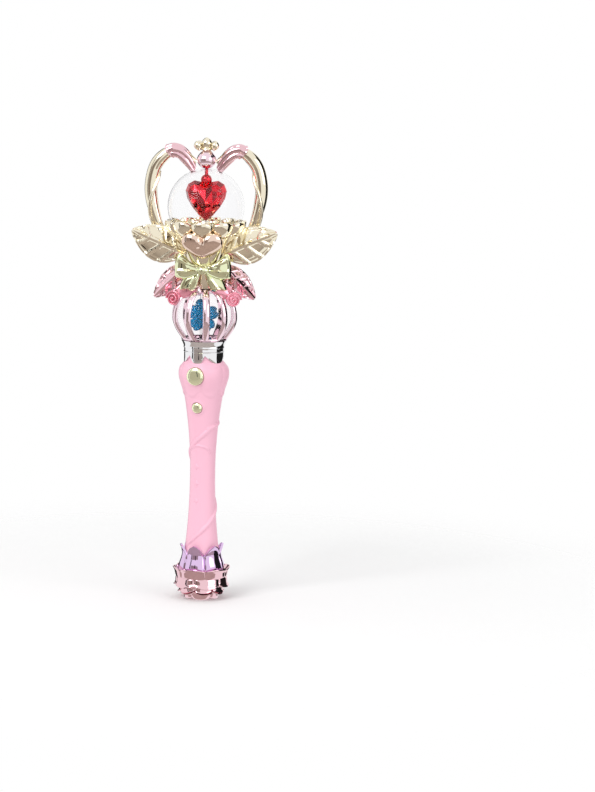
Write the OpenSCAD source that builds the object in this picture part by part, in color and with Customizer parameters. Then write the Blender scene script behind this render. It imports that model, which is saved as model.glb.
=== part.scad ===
// Toy magic wand: a moulded grip with two push buttons and sound and light inside,
// a caged globe with a blossom, a goblet head with leaves, roses and a bow,
// and a clear dome with a heart under a heart-shaped hoop.
// Stands on its rose foot. Origin at the centre of the foot, front towards -Y.

/* [Grip] */
// Height of the open top of the grip
grip_top_z = 174; // [170:1:178]
// Radius of the grip where it enters the tulip cup
grip_foot_r = 11.8; // [10.5:0.1:12.4]
// Radius of the slimmest place of the grip
grip_waist_r = 8.6; // [8.4:0.1:9.2]
// Height of the slimmest place of the grip
grip_waist_z = 89; // [84:1:92]
// Radius of the grip under the bulge
grip_shoulder_r = 14.3; // [13.8:0.1:15]
// Radius of the bulge that holds the large button
grip_bulge_r = 16.6; // [16:0.1:17.4]
// Height of the middle of the bulge
grip_bulge_z = 155.5; // [155:0.5:156]
// Radius of the neck that goes up inside the collar
grip_neck_r = 12.6; // [12:0.1:13]
// Wall of the grip shells
grip_wall = 1.9; // [1.6:0.1:2]
// Thickness of the raised vine round the grip
vine_d = 2.4; // [1.6:0.1:3]
// How far the vine stands out of the grip
vine_proud = 0.75; // [0.5:0.05:1]

/* [Buttons] */
// Diameter of the large button
large_button_d = 12; // [10:0.1:12.6]
// Height of the large button
large_button_z = 155; // [154:0.5:156]
// Diameter of the small button
small_button_d = 7.3; // [6:0.1:8]
// Height of the small button
small_button_z = 133; // [132:0.5:134]
// Travel of both buttons
button_travel = 1; // [0.6:0.1:1.2]
// How far a button's crown stands out of the grip
button_proud = 1.6; // [1:0.1:2]

/* [Power and sound] */
// Diameter of a button cell
cell_d = 11.6; // [11.4:0.1:11.6]
// Height of a button cell
cell_h = 5.4; // [5:0.1:5.4]
// Number of cells in the stack
cell_count = 3; // [2:1:3]
// Height of the underside of the cell stack
cell_z = 99; // [98:0.5:100]
// Width of the battery door
door_w = 14.4; // [14:0.1:14.8]
// How far the battery door reaches below the cells
door_below = 10; // [9:0.5:12]
// How far the battery door reaches above the underside of the cells
door_above = 23; // [21:0.5:23.5]
// Diameter of the loudspeaker
speaker_d = 16; // [14:0.5:16.5]

/* [Collar and globe] */
// Radius of the collar's tongues outside
collar_r = 13.7; // [13.4:0.1:14.2]
// Radius of the collar's flared rim
collar_rim_r = 15.6; // [15:0.1:16.4]
// Height of the collar's rim
collar_top_z = 178.5; // [177:0.5:180]
// Radius of the globe at its widest
globe_r = 22.8; // [21:0.1:24.5]
// Height of the globe's widest place
globe_z = 194; // [193:0.5:196]
// Height of the globe's top
globe_top_z = 214; // [213:0.5:215]
// Number of ribs of the globe's cage
rib_count = 10; // [8:1:12]
// Width of a rib, as an angle
rib_angle = 17; // [12:0.5:20]
// Radius of the blossom inside the globe
blossom_r = 11.7; // [10:0.1:12.5]

/* [Head] */
// Turn of the head against the front of the grip, to the viewer's right
head_turn = 15; // [0:1:20]
// Radius of the goblet's rim
cup_rim_r = 26.5; // [25:0.1:28]
// Height of the goblet's rim
cup_rim_z = 258; // [256:0.5:260]
// Radius of the goblet's neck
cup_neck_r = 9; // [8:0.1:10]
// Wall of the goblet
cup_wall = 1.8; // [1.4:0.1:2.2]
// Radius of the clear dome
dome_r = 26; // [25:0.1:27]
// Wall of the clear dome
dome_wall = 1.2; // [0.8:0.1:1.6]
// Width of the heart under the dome
heart_w = 28; // [24:0.5:30]
// Height of the heart under the dome
heart_h = 27; // [24:0.5:28]
// Half thickness of the heart under the dome
heart_depth = 8; // [6:0.5:9]
// Thickness of the hoop at its widest
hoop_d = 8.7; // [7:0.1:9.4]
// Half width of the hoop at its middle line
hoop_half_w = 37.6; // [36:0.1:39]
// Rise of the hoop's middle line above the dome
hoop_over = 10.35; // [9:0.05:11]
// Length of a gold leaf from stalk to tip
gold_leaf_l = 38; // [32:0.5:40]
// Length of a pink leaf from stalk to tip
pink_leaf_l = 31; // [25:0.5:32]
// Width of the bow from loop to loop
bow_w = 39; // [33:0.5:40]
// Diameter of a rose beside the globe
rose_d = 10.6; // [8:0.1:11]

/* [Foot] */
// Radius of the rose foot at its widest
foot_r = 19.5; // [18:0.1:21]
// Radius of the flat that the wand stands on
foot_flat_r = 9.5; // [8:0.1:11]
// Height of the rose foot
foot_h = 22; // [21:0.5:23]
// Radius of the tulip cup's belly
tulip_belly_r = 15.6; // [15:0.1:16.5]
// Radius of the tulip cup's waist outside
tulip_waist_r = 13; // [12.8:0.1:13.6]

/* [Fit] */
// Gap between pieces that are fixed together
fit_gap = 0.1; // [0.05:0.01:0.15]
// Gap between pieces that move past each other
run_gap = 0.25; // [0.2:0.01:0.3]

/* [Hidden] */
$fn = 48;

// Finishes
pink_abs = "#F9C3D6";
gold_chrome = "#E6DBBB";
rosy_chrome = "#DDBFAE";
pink_chrome = "#D8A4B4";
lilac_chrome = "#D3B7DC";
silver_chrome = "#D5D6DA";
lime_chrome = "#DDE2A4";
ruby = "#C4122F";
aqua = "#2C88BC";
clear_pink = "#F4E4EA";
rose_pink = "#E0567C";
board_green = "#2F7D4F";
steel = "#B9BCC2";
dark_rubber = "#3A3A3E";

// Heights along the grip
grip_foot_z = 33;
grip_bottom_z = 22.1;
bulge_half_h = 8.2;
shoulder_z = grip_bulge_z - bulge_half_h;
shelf_z = grip_bulge_z + 7.5;
bulge_reach = 12;
spigot_r = 10.2;
foot_ease = 2.2;
shoulder_ease = 1.9;

// Swell of the bulge over the taper of the grip
function bulge_swell(z) =
    (grip_bulge_r - grip_shoulder_r) * pow(cos(90 * min(1, abs(z - grip_bulge_z) / bulge_reach)), 2);

// Radius of the grip at a height
function grip_r(z) =
    z < grip_foot_z ? spigot_r
    : z <= grip_waist_z
        ? grip_waist_r + (grip_foot_r - grip_waist_r)
            * pow((grip_waist_z - z) / (grip_waist_z - grip_foot_z), foot_ease)
    : z <= shoulder_z
        ? grip_waist_r + (grip_shoulder_r - grip_waist_r)
            * pow((z - grip_waist_z) / (shoulder_z - grip_waist_z), shoulder_ease) + bulge_swell(z)
    : z <= shelf_z
        ? grip_shoulder_r + bulge_swell(z)
    : grip_neck_r;

// Outline of the grip, pulled in by an inset, from its foot up
function grip_outline(inset) = concat(
    [[spigot_r - inset, grip_bottom_z], [spigot_r - inset, grip_foot_z + inset]],
    [for (i = [0:9])
        let (z = grip_foot_z + inset + (grip_waist_z - grip_foot_z - inset) * i / 10)
        [grip_r(z) - inset, z]],
    [for (i = [0:15])
        let (z = grip_waist_z + (shoulder_z - grip_waist_z) * i / 16)
        [grip_r(z) - inset, z]],
    [for (i = [0:8])
        let (z = shoulder_z + (shelf_z - inset - shoulder_z) * i / 8)
        [grip_r(z) - inset, z]],
    [[grip_neck_r - inset, shelf_z - inset], [grip_neck_r - inset, grip_top_z]]);

// The grip as a solid of revolution, pulled in by an inset
module grip_core(inset) {
    rotate_extrude()
        polygon(concat([[0, grip_bottom_z]], grip_outline(inset), [[0, grip_top_z]]));
}

// One half of the grip's wall, on the +Y side
module grip_half() {
    outer = grip_outline(0);
    inner = grip_outline(grip_wall);
    rotate_extrude(angle = 180)
        polygon(concat(outer, [for (i = [len(inner) - 1:-1:0]) inner[i]]));
}

// A round bar along Y from one place to another
module bar_y(r, x, z, y0, y1) {
    translate([x, min(y0, y1), z])
        rotate([-90, 0, 0])
            cylinder(r = r, h = abs(y1 - y0));
}

// Screws that hold the grip's halves together
grip_screw_z = [48, cell_z - 21, cell_z + 26.4];
screw_r = 1.1;
screw_head_r = 2.1;
screw_head_h = 1.5;
boss_r = 2.6;
counterbore_depth = 3;
screw_reach = 4.5;

// Button guides: flat seats inside the front shell
large_seat_y = -12.1;
small_seat_y = -9;
guide_wall = 1.7;
flange_h = 1.2;
flange_lip = 0.9;
stem_r = 1.6;
board_face_y = -2;
board_t = 1.2;
board_w = 11;
board_bottom_z = 129;
board_top_z = 165;
switch_w = 6;
switch_h = 3.4;
plunger_r = 1.5;
plunger_rest_y = board_face_y - switch_h - button_travel - 0.4;
post_r = 1.5;
post_x = 4;
post_z = 144;
board_screw_r = 0.75;

// Battery bay
cell_gap = 0.15;
stack_h = cell_count * cell_h;
stack_top_z = cell_z + stack_h;
contact_t = 0.5;
contact_w = 8;
spring_h = 3.6;
saddle_t = 2;
bay_w = cell_d + 0.4;
door_t = 1.1;
door_bottom_z = cell_z - door_below;
door_top_z = cell_z + door_above;
door_screw_z = door_top_z - 3.2;

// Loudspeaker
speaker_z = 153;
speaker_face_y = 10.2;
speaker_h = 3.6;
speaker_ring = 1.3;
grille_hole_r = 0.9;

// Boss in one half of the grip, ending at the parting plane
module boss_at(z, side) {
    intersection() {
        bar_y(boss_r, 0, z, side * 0.05, side * 20);
        grip_core(grip_wall / 2);
    }
}

// Vine that winds round the grip: [height, turn from the front to the viewer's right]
vine_keys = [[35, -416], [41.9, -375.5], [63.2, -250.5], [100.9, -70.5], [106.2, -31.5], [119, 50],
    [122.5, 100], [126, 140]];
module vine(side) {
    stations = 46;
    bottom = vine_keys[0][0];
    rise = vine_keys[len(vine_keys) - 1][0] - bottom;
    reach = 2 * grip_bulge_r;
    intersection() {
        tube([for (i = [0:stations])
                let (z = bottom + rise * i / stations,
                     a = lookup(z, vine_keys),
                     r = grip_r(z) + vine_proud - vine_d / 2)
                [r * sin(a), -r * cos(a), z]],
            [for (i = [0:stations])
                vine_d / 2 * min(1, 0.35 + 8 * min(i, stations - i) / stations)],
            8, [0, 0, 1]);
        translate([-reach, side > 0 ? 0.05 : -0.05 - reach, 0])
            cube([2 * reach, reach, grip_top_z]);
    }
}

// Front half of the grip, with button guides, cell saddles and board posts
module handle_front_shell() {
    color(pink_abs)
        difference() {
            union() {
                rotate([0, 0, 180])
                    grip_half();
                vine(-1);
                for (z = grip_screw_z)
                    boss_at(z, -1);
                intersection() {
                    union() {
                        bar_y(large_button_d / 2 + run_gap + guide_wall, 0, large_button_z,
                            large_seat_y, -20);
                        bar_y(small_button_d / 2 + run_gap + guide_wall, 0, small_button_z,
                            small_seat_y, -20);
                        for (x = [-post_x, post_x])
                            bar_y(post_r, x, post_z, board_face_y - 0.05, -20);
                        for (z = [cell_z + 1, stack_top_z - 1 - saddle_t])
                            translate([-15, -15 - run_gap, z])
                                cube([30, 15, saddle_t]);
                        for (z = [cell_z - spring_h - contact_t - 1.6, stack_top_z + contact_t + 0.1])
                            translate([-15, -15 - run_gap, z])
                                cube([30, 15, 1.5]);
                    }
                    grip_core(grip_wall / 2);
                }
            }
            bar_y(large_button_d / 2 + run_gap, 0, large_button_z, 0, -30);
            bar_y(small_button_d / 2 + run_gap, 0, small_button_z, 0, -30);
            bar_y(large_button_d / 2 + flange_lip + 2 * run_gap, 0, large_button_z, 0, large_seat_y);
            bar_y(small_button_d / 2 + flange_lip + 2 * run_gap, 0, small_button_z, 0, small_seat_y);
            translate([0, 0, cell_z - spring_h])
                cylinder(d = cell_d + 2 * cell_gap, h = stack_h + spring_h);
            for (z = grip_screw_z)
                bar_y(screw_r, 0, z, 1, -screw_reach - 0.3);
            for (x = [-post_x, post_x])
                bar_y(board_screw_r + 0.02, x, post_z, 0, board_face_y - 3.4);
        }
}

// Back half of the grip, with the battery window, the loudspeaker's ring and its grille
module handle_back_shell() {
    color(pink_abs)
        difference() {
            union() {
                grip_half();
                vine(1);
                for (z = grip_screw_z)
                    boss_at(z, 1);
                intersection() {
                    union() {
                        bar_y(speaker_d / 2 + fit_gap + speaker_ring, 0, speaker_z,
                            speaker_face_y - speaker_h, 20);
                        bar_y(boss_r - 0.4, 0, door_screw_z, 2.4, 20);
                    }
                    grip_core(grip_wall / 2);
                }
            }
            bar_y(speaker_d / 2 + fit_gap, 0, speaker_z, 0, speaker_face_y + fit_gap);
            bar_y(speaker_d / 2 - 1.5, 0, speaker_z, 0, speaker_face_y + 1.6);
            for (ring = [0:2])
                for (k = [0:max(0, ring * 6 - 1)])
                    let (a = ring == 0 ? 0 : 60 * k / ring)
                    bar_y(grille_hole_r, 2.5 * ring * cos(a), speaker_z + 2.5 * ring * sin(a), 8, 30);
            for (z = grip_screw_z) {
                bar_y(screw_r + 0.15, 0, z, -1, 30);
                bar_y(screw_head_r + 0.3, 0, z, grip_r(z) - counterbore_depth, 30);
            }
            // Window for the cells, with a ledge that the door lies on
            translate([-bay_w / 2, 0.05, door_bottom_z + 4.4])
                cube([bay_w, 20, door_top_z - door_bottom_z - 10.6]);
            intersection() {
                translate([-door_w / 2 - run_gap, 0, door_bottom_z - run_gap])
                    cube([door_w + 2 * run_gap, 20, door_top_z - door_bottom_z + 2 * run_gap]);
                difference() {
                    grip_core(-1);
                    grip_core(door_t + run_gap);
                }
            }
            bar_y(screw_r + run_gap, 0, door_screw_z, 1, 30);
        }
}

// Push button along -Y: domed crown, skirt, flange behind its seat, and stem
module push_button(d, z, seat_y) {
    r = d / 2;
    flange_top = -seat_y - 0.15;
    skirt_top = grip_r(z) + 0.2;
    dome_steps = 8;
    color(lime_chrome)
        translate([0, 0, z])
            rotate([90, 0, 0])
                rotate_extrude()
                    polygon(concat(
                        [[0, -plunger_rest_y], [stem_r, -plunger_rest_y], [stem_r, flange_top - flange_h],
                         [r + run_gap + flange_lip, flange_top - flange_h],
                         [r + run_gap + flange_lip, flange_top], [r, flange_top]],
                        [for (i = [0:dome_steps])
                            let (a = 90 * i / dome_steps)
                            [r * cos(a), skirt_top + button_proud * sin(a)]]));
}

module large_button() {
    push_button(large_button_d, large_button_z, large_seat_y);
}

module small_button() {
    push_button(small_button_d, small_button_z, small_seat_y);
}

// Plunger of a switch, which goes in with its button
module switch_plunger(z) {
    color(dark_rubber)
        bar_y(plunger_r, 0, z, plunger_rest_y, board_face_y - switch_h + 1.4);
}

module large_switch_plunger() {
    switch_plunger(large_button_z);
}

module small_switch_plunger() {
    switch_plunger(small_button_z);
}

// Tactile switches on the board, one behind each button
module tactile_switches() {
    color(steel)
        for (z = [large_button_z, small_button_z])
            difference() {
                translate([-switch_w / 2, board_face_y - switch_h, z - switch_w / 2])
                    cube([switch_w, switch_h, switch_w]);
                bar_y(plunger_r + run_gap, 0, z, board_face_y - switch_h - 1, board_face_y - 0.6);
            }
}

// Circuit board that carries the switches and the sound chip
module button_board() {
    color(board_green)
        difference() {
            translate([-board_w / 2, board_face_y, board_bottom_z])
                cube([board_w, board_t, board_top_z - board_bottom_z]);
            for (x = [-post_x, post_x])
                bar_y(board_screw_r + fit_gap, x, post_z, -10, 10);
        }
}

// Screws that hold the board on its posts
module board_screws() {
    color(steel)
        for (x = [-post_x, post_x]) {
            bar_y(board_screw_r, x, post_z, board_face_y - 3, board_face_y + board_t + 0.5);
            bar_y(2 * board_screw_r, x, post_z, board_face_y + board_t + 0.02,
                board_face_y + board_t + 0.9);
        }
}

// Sound chip under a drop of resin on the back of the board
chip_r = 3.4;
module sound_chip() {
    color(dark_rubber)
        translate([0, board_face_y + board_t, (small_button_z + post_z) / 2 - 1])
            rotate([-90, 0, 0])
                rotate_extrude()
                    polygon(concat([[0, 0]], [for (i = [0:6]) [chip_r * cos(15 * i), 1.4 * sin(15 * i)]]));
}

// Loudspeaker: rim, basket and magnet
module speaker() {
    r = speaker_d / 2;
    magnet_r = 0.6 * r;
    magnet_h = 2.2;
    color(dark_rubber)
        translate([0, speaker_face_y, speaker_z])
            rotate([90, 0, 0])
                rotate_extrude()
                    polygon([[0, 0.8], [r - 2.5, 0.5], [r - 1, 0], [r, 0], [r, 1.2], [r - 1, speaker_h],
                        [magnet_r, speaker_h], [magnet_r, speaker_h + magnet_h],
                        [0, speaker_h + magnet_h]]);
}

// Screws of the grip, put in from the back
module handle_screws() {
    color(steel)
        for (z = grip_screw_z) {
            seat = grip_r(z) - counterbore_depth;
            bar_y(screw_r - 0.02, 0, z, -screw_reach, seat + 0.5);
            difference() {
                bar_y(screw_head_r, 0, z, seat + 0.02, seat + screw_head_h);
                translate([-1.6, seat + screw_head_h - 0.6, z - 0.25])
                    cube([3.2, 1, 0.5]);
            }
        }
}

// Stack of button cells
module button_cells() {
    color(silver_chrome)
        for (i = [0:cell_count - 1])
            translate([0, 0, cell_z + i * cell_h])
                rotate_extrude()
                    polygon([[0, 0.02], [cell_d / 2 - 1.2, 0.02], [cell_d / 2 - 1.2, 0.4],
                        [cell_d / 2 - 0.5, 0.4], [cell_d / 2, 0.9], [cell_d / 2, cell_h - 0.3],
                        [cell_d / 2 - 0.3, cell_h], [0, cell_h]]);
}

// Contact plates above and below the cells
module battery_contacts() {
    color(steel)
        for (z = [cell_z - spring_h - contact_t, stack_top_z + 0.03])
            translate([-contact_w / 2, -5, z])
                cube([contact_w, 9, contact_t]);
}

// Tube with round ends cut square, swept along points; its radius is given at each point
module tube(path, radii, sides, side_dir = [0, 1, 0]) {
    n = len(path);
    function unit(v) = v / norm(v);
    rings = [for (i = [0:n - 1])
        let (t = unit(path[min(n - 1, i + 1)] - path[max(0, i - 1)]),
             u = unit(cross(side_dir, t)),
             v = cross(t, u))
        [for (k = [0:sides - 1])
            path[i] + radii[i] * (cos(360 * k / sides) * u + sin(360 * k / sides) * v)]];
    points = [for (ring = rings) each ring];
    walls = [for (i = [0:n - 2], k = [0:sides - 1])
        let (a = i * sides + k, b = i * sides + (k + 1) % sides)
        each [[a, b + sides, b], [a, a + sides, b + sides]]];
    caps = [[for (k = [0:sides - 1]) k], [for (k = [sides - 1:-1:0]) (n - 1) * sides + k]];
    polyhedron(points, concat(walls, caps), convexity = 8);
}

// Cone spring under the cells
spring_turns = 3;
module battery_spring() {
    rings = 8 * spring_turns;
    wire_r = 0.35;
    color(steel)
        tube([for (i = [0:rings])
                let (a = 360 * spring_turns * i / rings, r = 4.4 - 2 * i / rings)
                [r * cos(a), r * sin(a),
                    cell_z - spring_h + wire_r + 0.1 + (spring_h - 2 * wire_r - 0.2) * i / rings]],
            [for (i = [0:rings]) wire_r], 6, [0, 0, 1]);
}

// Door of the battery bay, flush with the grip
module battery_door() {
    color(pink_abs)
        difference() {
            intersection() {
                difference() {
                    grip_core(0);
                    grip_core(door_t);
                }
                translate([-door_w / 2, 0, door_bottom_z])
                    cube([door_w, 30, door_top_z - door_bottom_z]);
            }
            bar_y(screw_r + fit_gap, 0, door_screw_z, 0, 30);
            bar_y(screw_head_r + fit_gap, 0, door_screw_z, grip_r(door_screw_z) - 0.6, 30);
        }
}

// Captive screw of the battery door
module battery_door_screw() {
    seat = grip_r(door_screw_z) - 0.6;
    color(steel)
        difference() {
            union() {
                bar_y(screw_r, 0, door_screw_z, 4, seat + 0.5);
                bar_y(screw_head_r, 0, door_screw_z, seat + 0.02, seat + 1);
            }
            for (a = [0, 90])
                translate([0, seat + 1, door_screw_z])
                    rotate([0, a, 0])
                        cube([3, 0.9, 0.6], center = true);
        }
}

// Wires from the battery contacts to the board; one runs beside the cells
battery_wire_r = 0.4;
battery_wire_routes = [
    [[3.4, 2.6, 116.1], [3.6, 2.6, 119], [4.6, 1.4, 123.5], [4.3, -1, 126.6], [4, -1.4, 128.6]],
    [[-3, 2.6, 94.4], [-4.4, 2, 93.4], [-5.8, 1.2, 94.6], [-6.2, 0.9, 97], [-6.2, 0.9, 115],
        [-5.6, 1, 120], [-4.5, 0, 125.4], [-4, -1.4, 128.6]]];
module battery_wires() {
    color(ruby)
        for (route = battery_wire_routes)
            tube(route, [for (p = route) battery_wire_r], 8);
}

// Closed ring of petals round the axis.
// A station is [radius, height, radius added at a petal's middle, height added there, turn of its petals]
module petal_form(stations, petals, slices) {
    n = len(stations);
    function swell(a) = pow(abs(cos(petals * a / 2)), 0.6);
    points = concat(
        [for (s = stations, k = [0:slices - 1])
            let (a = 360 * k / slices, w = swell(a - s[4]), r = s[0] + s[2] * w)
            [r * cos(a), r * sin(a), s[1] + s[3] * w]],
        [[0, 0, stations[0][1]], [0, 0, stations[n - 1][1]]]);
    walls = [for (i = [0:n - 2], k = [0:slices - 1])
        let (a = i * slices + k, b = i * slices + (k + 1) % slices)
        each [[a, b + slices, b], [a, a + slices, b + slices]]];
    ends = [for (k = [0:slices - 1])
        let (top = (n - 1) * slices)
        each [[n * slices, k, (k + 1) % slices], [n * slices + 1, top + (k + 1) % slices, top + k]]];
    polyhedron(points, concat(walls, ends), convexity = 10);
}

// Foot: a rose whose three tiers of petals open upwards round the tulip cup
rose_petals = 5;
front_turn = -90;
foot_floor_z = foot_h - 4;
foot_cavity_r = tulip_belly_r + 0.6;
foot_screw_r = 1.2;
foot_head_r = 2.8;
module pommel_rose() {
    half_petal = 180 / rose_petals;
    low_z = 0.3 * foot_h;
    middle_z = 0.56 * foot_h;
    color(pink_chrome)
        difference() {
            petal_form([
                [foot_flat_r, 0, 0, 0, front_turn],
                [foot_flat_r + 1.6, 1.4, 1.2, -0.6, front_turn],
                [foot_r - 6.6, low_z, 1.6, -1.6, front_turn],
                [foot_r - 6.9, low_z + 0.9, 0.8, -1.4, front_turn],
                [foot_r - 3.2, middle_z, 1.8, -1.2, front_turn + half_petal],
                [foot_r - 3.6, middle_z + 1, 1, -1, front_turn + half_petal],
                [foot_r - 3, foot_h - 4.5, 1, 0, front_turn + half_petal / 2],
                [foot_r - 1.6, foot_h - 1.6, 1.6, 1, front_turn],
                [foot_r - 2.4, foot_h - 1.2, 1.4, 1.2, front_turn],
                [foot_cavity_r - 0.5, foot_floor_z + 0.5, 0, 0, front_turn]], rose_petals, 60);
            translate([0, 0, foot_floor_z])
                cylinder(r = foot_cavity_r, h = foot_h);
            translate([0, 0, -1])
                cylinder(r = foot_screw_r + fit_gap, h = foot_h);
            translate([0, 0, -1])
                cylinder(r = foot_head_r + run_gap, h = 4);
        }
}

// Tulip cup between the foot and the grip, with petals that curl outwards
tulip_petals = 6;
tulip_floor_z = grip_bottom_z - 0.1;
tulip_tip_h = 5.4;
tulip_base_z = foot_floor_z + 0.05;
module pommel_tulip() {
    rim_z = grip_foot_z + 0.8;
    inner_r = grip_foot_r + 0.25;
    color(lilac_chrome)
        difference() {
            petal_form([
                [tulip_belly_r - 1.8, tulip_base_z, 0, 0, front_turn],
                [tulip_belly_r - 0.7, tulip_base_z + 2.2, 0.5, 0, front_turn],
                [tulip_belly_r - 0.6, tulip_base_z + 5.4, 0.6, 0, front_turn],
                [tulip_belly_r - 1.6, tulip_base_z + 9, 0.5, 0, front_turn],
                [tulip_waist_r - 0.2, grip_foot_z - 1, 0.4, 0, front_turn],
                [tulip_waist_r - 0.2, rim_z - 0.6, 0.3, 0.6 * tulip_tip_h, front_turn],
                [tulip_waist_r, rim_z, 1.5, tulip_tip_h, front_turn],
                [inner_r + 0.2, rim_z, 1.4, tulip_tip_h + 0.2, front_turn],
                [inner_r, rim_z - 0.5, 0.1, 0.6 * tulip_tip_h, front_turn],
                [inner_r, grip_foot_z - 0.1, 0, 0, front_turn]], tulip_petals, 72);
            translate([0, 0, tulip_floor_z])
                cylinder(r = spigot_r + fit_gap, h = foot_h);
            cylinder(r = foot_screw_r + fit_gap, h = grip_foot_z);
        }
}

// Plug in the lower end of the grip, which the foot's screw bites into
module pommel_plug() {
    color(pink_abs)
        difference() {
            translate([0, 0, grip_bottom_z])
                cylinder(r = spigot_r - grip_wall - fit_gap, h = grip_foot_z - grip_bottom_z);
            cylinder(r = foot_screw_r + 0.02, h = grip_foot_z + 1);
        }
}

// Screw of the foot, put in from below
module pommel_screw() {
    color(steel)
        difference() {
            union() {
                translate([0, 0, 2.5])
                    cylinder(r = foot_screw_r, h = grip_foot_z - 6);
                translate([0, 0, 0.9])
                    cylinder(r = foot_head_r, h = 2);
            }
            for (a = [0, 90])
                rotate([0, 0, a])
                    translate([-1.9, -0.35, 0])
                        cube([3.8, 0.7, 1.7]);
        }
}

// Collar: flared rim, shelf for the globe, and six tongues with pointed notches between them
collar_shelf_z = grip_top_z + 0.1;
collar_shelf_t = 2;
notch_top_z = shelf_z + 5.4;
notch_half_w = 3;
notch_angles = [22.5, 90, 157.5, 202.5, 270, 337.5];
post_out_r = 3;
post_in_r = 1.8;
led_r = 1.5;
blossom_led_y = -6;
module collar_notch() {
    depth = notch_top_z - shelf_z;
    steps = 6;
    side = [for (i = [0:steps])
        let (t = i / steps)
        [notch_half_w * (1 - sqrt(1 - t * t)), notch_top_z - depth * t]];
    translate([0, -collar_r + 3, 0])
        rotate([90, 0, 0])
            linear_extrude(6)
                polygon(concat(side, [[notch_half_w, shelf_z - 1], [-notch_half_w, shelf_z - 1]],
                    [for (i = [steps:-1:1]) [-side[i][0], side[i][1]]]));
}

module collar() {
    inner_r = grip_neck_r + fit_gap;
    flare_z = collar_top_z - 5;
    shelf_top = collar_shelf_z + collar_shelf_t;
    color(silver_chrome)
        difference() {
            rotate_extrude()
                polygon([[0, collar_shelf_z], [inner_r, collar_shelf_z], [inner_r, shelf_z + fit_gap],
                    [collar_r, shelf_z + fit_gap], [collar_r, flare_z - 0.6], [collar_r + 0.5, flare_z],
                    [collar_r + 0.2, flare_z + 0.7], [collar_r + 0.9, flare_z + 2.2],
                    [collar_rim_r, flare_z + 3.2], [collar_rim_r + 0.1, flare_z + 4.2],
                    [collar_rim_r - 0.3, collar_top_z],
                    [collar_rim_r - 1.6, collar_top_z], [collar_rim_r - 1.8, shelf_top], [0, shelf_top]]);
            for (a = notch_angles)
                rotate([0, 0, a])
                    collar_notch();
            translate([0, 0, collar_shelf_z - 1])
                cylinder(r = post_in_r, h = 4);
            translate([0, 0, shelf_top - 1])
                cylinder(r = post_out_r + fit_gap, h = 2);
            translate([0, blossom_led_y, collar_shelf_z - 1])
                cylinder(r = led_r + fit_gap, h = 4);
        }
}

// Globe: an onion form, pulled in by an inset; the share runs from its base to its top
globe_base_z = collar_top_z + 0.05;
globe_base_r = 15;
globe_crown_r = 5.6;
cage_t = 1.9;
seam_lap = 0.15;
liner_t = 1;
function globe_point(share, inset) =
    share <= 0.5
        ? let (t = 2 * share)
          [globe_base_r - inset + (globe_r - globe_base_r) * sin(90 * t),
           globe_base_z + (globe_z - globe_base_z) * t]
        : let (t = 2 * share - 1)
          [globe_crown_r + (globe_r - inset - globe_crown_r) * pow(cos(90 * t), 0.85),
              globe_z + (globe_top_z - inset - globe_z) * t];

function globe_line(inset, steps) = [for (i = [0:steps]) globe_point(i / steps, inset)];

// Wall between two insets of the globe
module globe_wall(outer, inner, steps) {
    inside = globe_line(inner, steps);
    polygon(concat(globe_line(outer, steps), [for (i = [steps:-1:0]) inside[i]]));
}

// Cage of the globe: broad ribs between a base ring and a crown ring
module globe_cage() {
    color(pink_chrome)
        union() {
            for (i = [0:rib_count - 1])
                rotate([0, 0, front_turn + (i + 0.5) * 360 / rib_count - rib_angle / 2])
                    rotate_extrude(angle = rib_angle)
                        globe_wall(seam_lap, cage_t, 16);
            rotate_extrude()
                polygon([globe_point(0, cage_t - seam_lap), globe_point(0, -0.3), globe_point(1 / 24, -0.6),
                    globe_point(1 / 15, -0.2), globe_point(1 / 15, cage_t - seam_lap)]);
            rotate_extrude()
                polygon([[globe_crown_r - 1.2, globe_top_z - cage_t - seam_lap / 2],
                    [globe_crown_r + 2.2, globe_top_z - cage_t - seam_lap / 2],
                    [globe_crown_r + 1.6, globe_top_z], [globe_crown_r - 1.2, globe_top_z]]);
        }
}

// Clear pink lining inside the cage
module globe_liner() {
    color(clear_pink, 0.4)
        rotate_extrude()
            globe_wall(cage_t + 0.15, cage_t + 0.15 + liner_t, 16);
}

// Cushion over an outline in the XZ plane: flat back at y = edge, swelling to -depth at its middle
module pillow(outline, middle, depth, edge, rings, fullness = 1) {
    n = len(outline);
    levels = concat([[1, edge]],
        [for (k = [0:rings - 1]) [cos(90 * k / rings), -depth * pow(sin(90 * k / rings), fullness)]]);
    points = concat(
        [for (level = levels, p = outline)
            [middle[0] + level[0] * (p[0] - middle[0]), level[1],
             middle[1] + level[0] * (p[1] - middle[1])]],
        [[middle[0], -depth, middle[1]]]);
    last = len(levels) - 1;
    walls = [for (i = [0:last - 1], k = [0:n - 1])
        let (a = i * n + k, b = i * n + (k + 1) % n)
        each [[a, a + n, b + n], [a, b + n, b]]];
    crown = [for (k = [0:n - 1]) [last * n + (k + 1) % n, last * n + k, len(points) - 1]];
    polyhedron(points, concat(walls, crown, [[for (k = [0:n - 1]) k]]), convexity = 8);
}

// Fullness of a heart's flanks
heart_ease = 1.7;
// Heart outline, counter-clockwise from the front, as wide and high as given, with its middle at zero
function heart_outline(w, h, steps) = [for (i = [0:steps - 1])
    let (t = -360 * i / steps)
    [w / 2 * sign(sin(t)) * pow(abs(sin(t)), heart_ease),
     h * (13 * cos(t) - 5 * cos(2 * t) - 2 * cos(3 * t) - cos(4 * t) + 2.6) / 28.9]];

// Blossom: five notched petals, one upright
function blossom_outline(steps) = [for (i = [0:steps - 1])
    let (a = 360 * i / steps,
         from_petal = abs(((a + 36 + 360 - 90) % 72) - 36),
         r = blossom_r * (0.5 + 0.5 * pow(cos(from_petal * 2.5), 0.55)
             - 0.16 * max(0, 1 - from_petal / 9)))
    [r * cos(a), r * sin(a)]];

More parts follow.
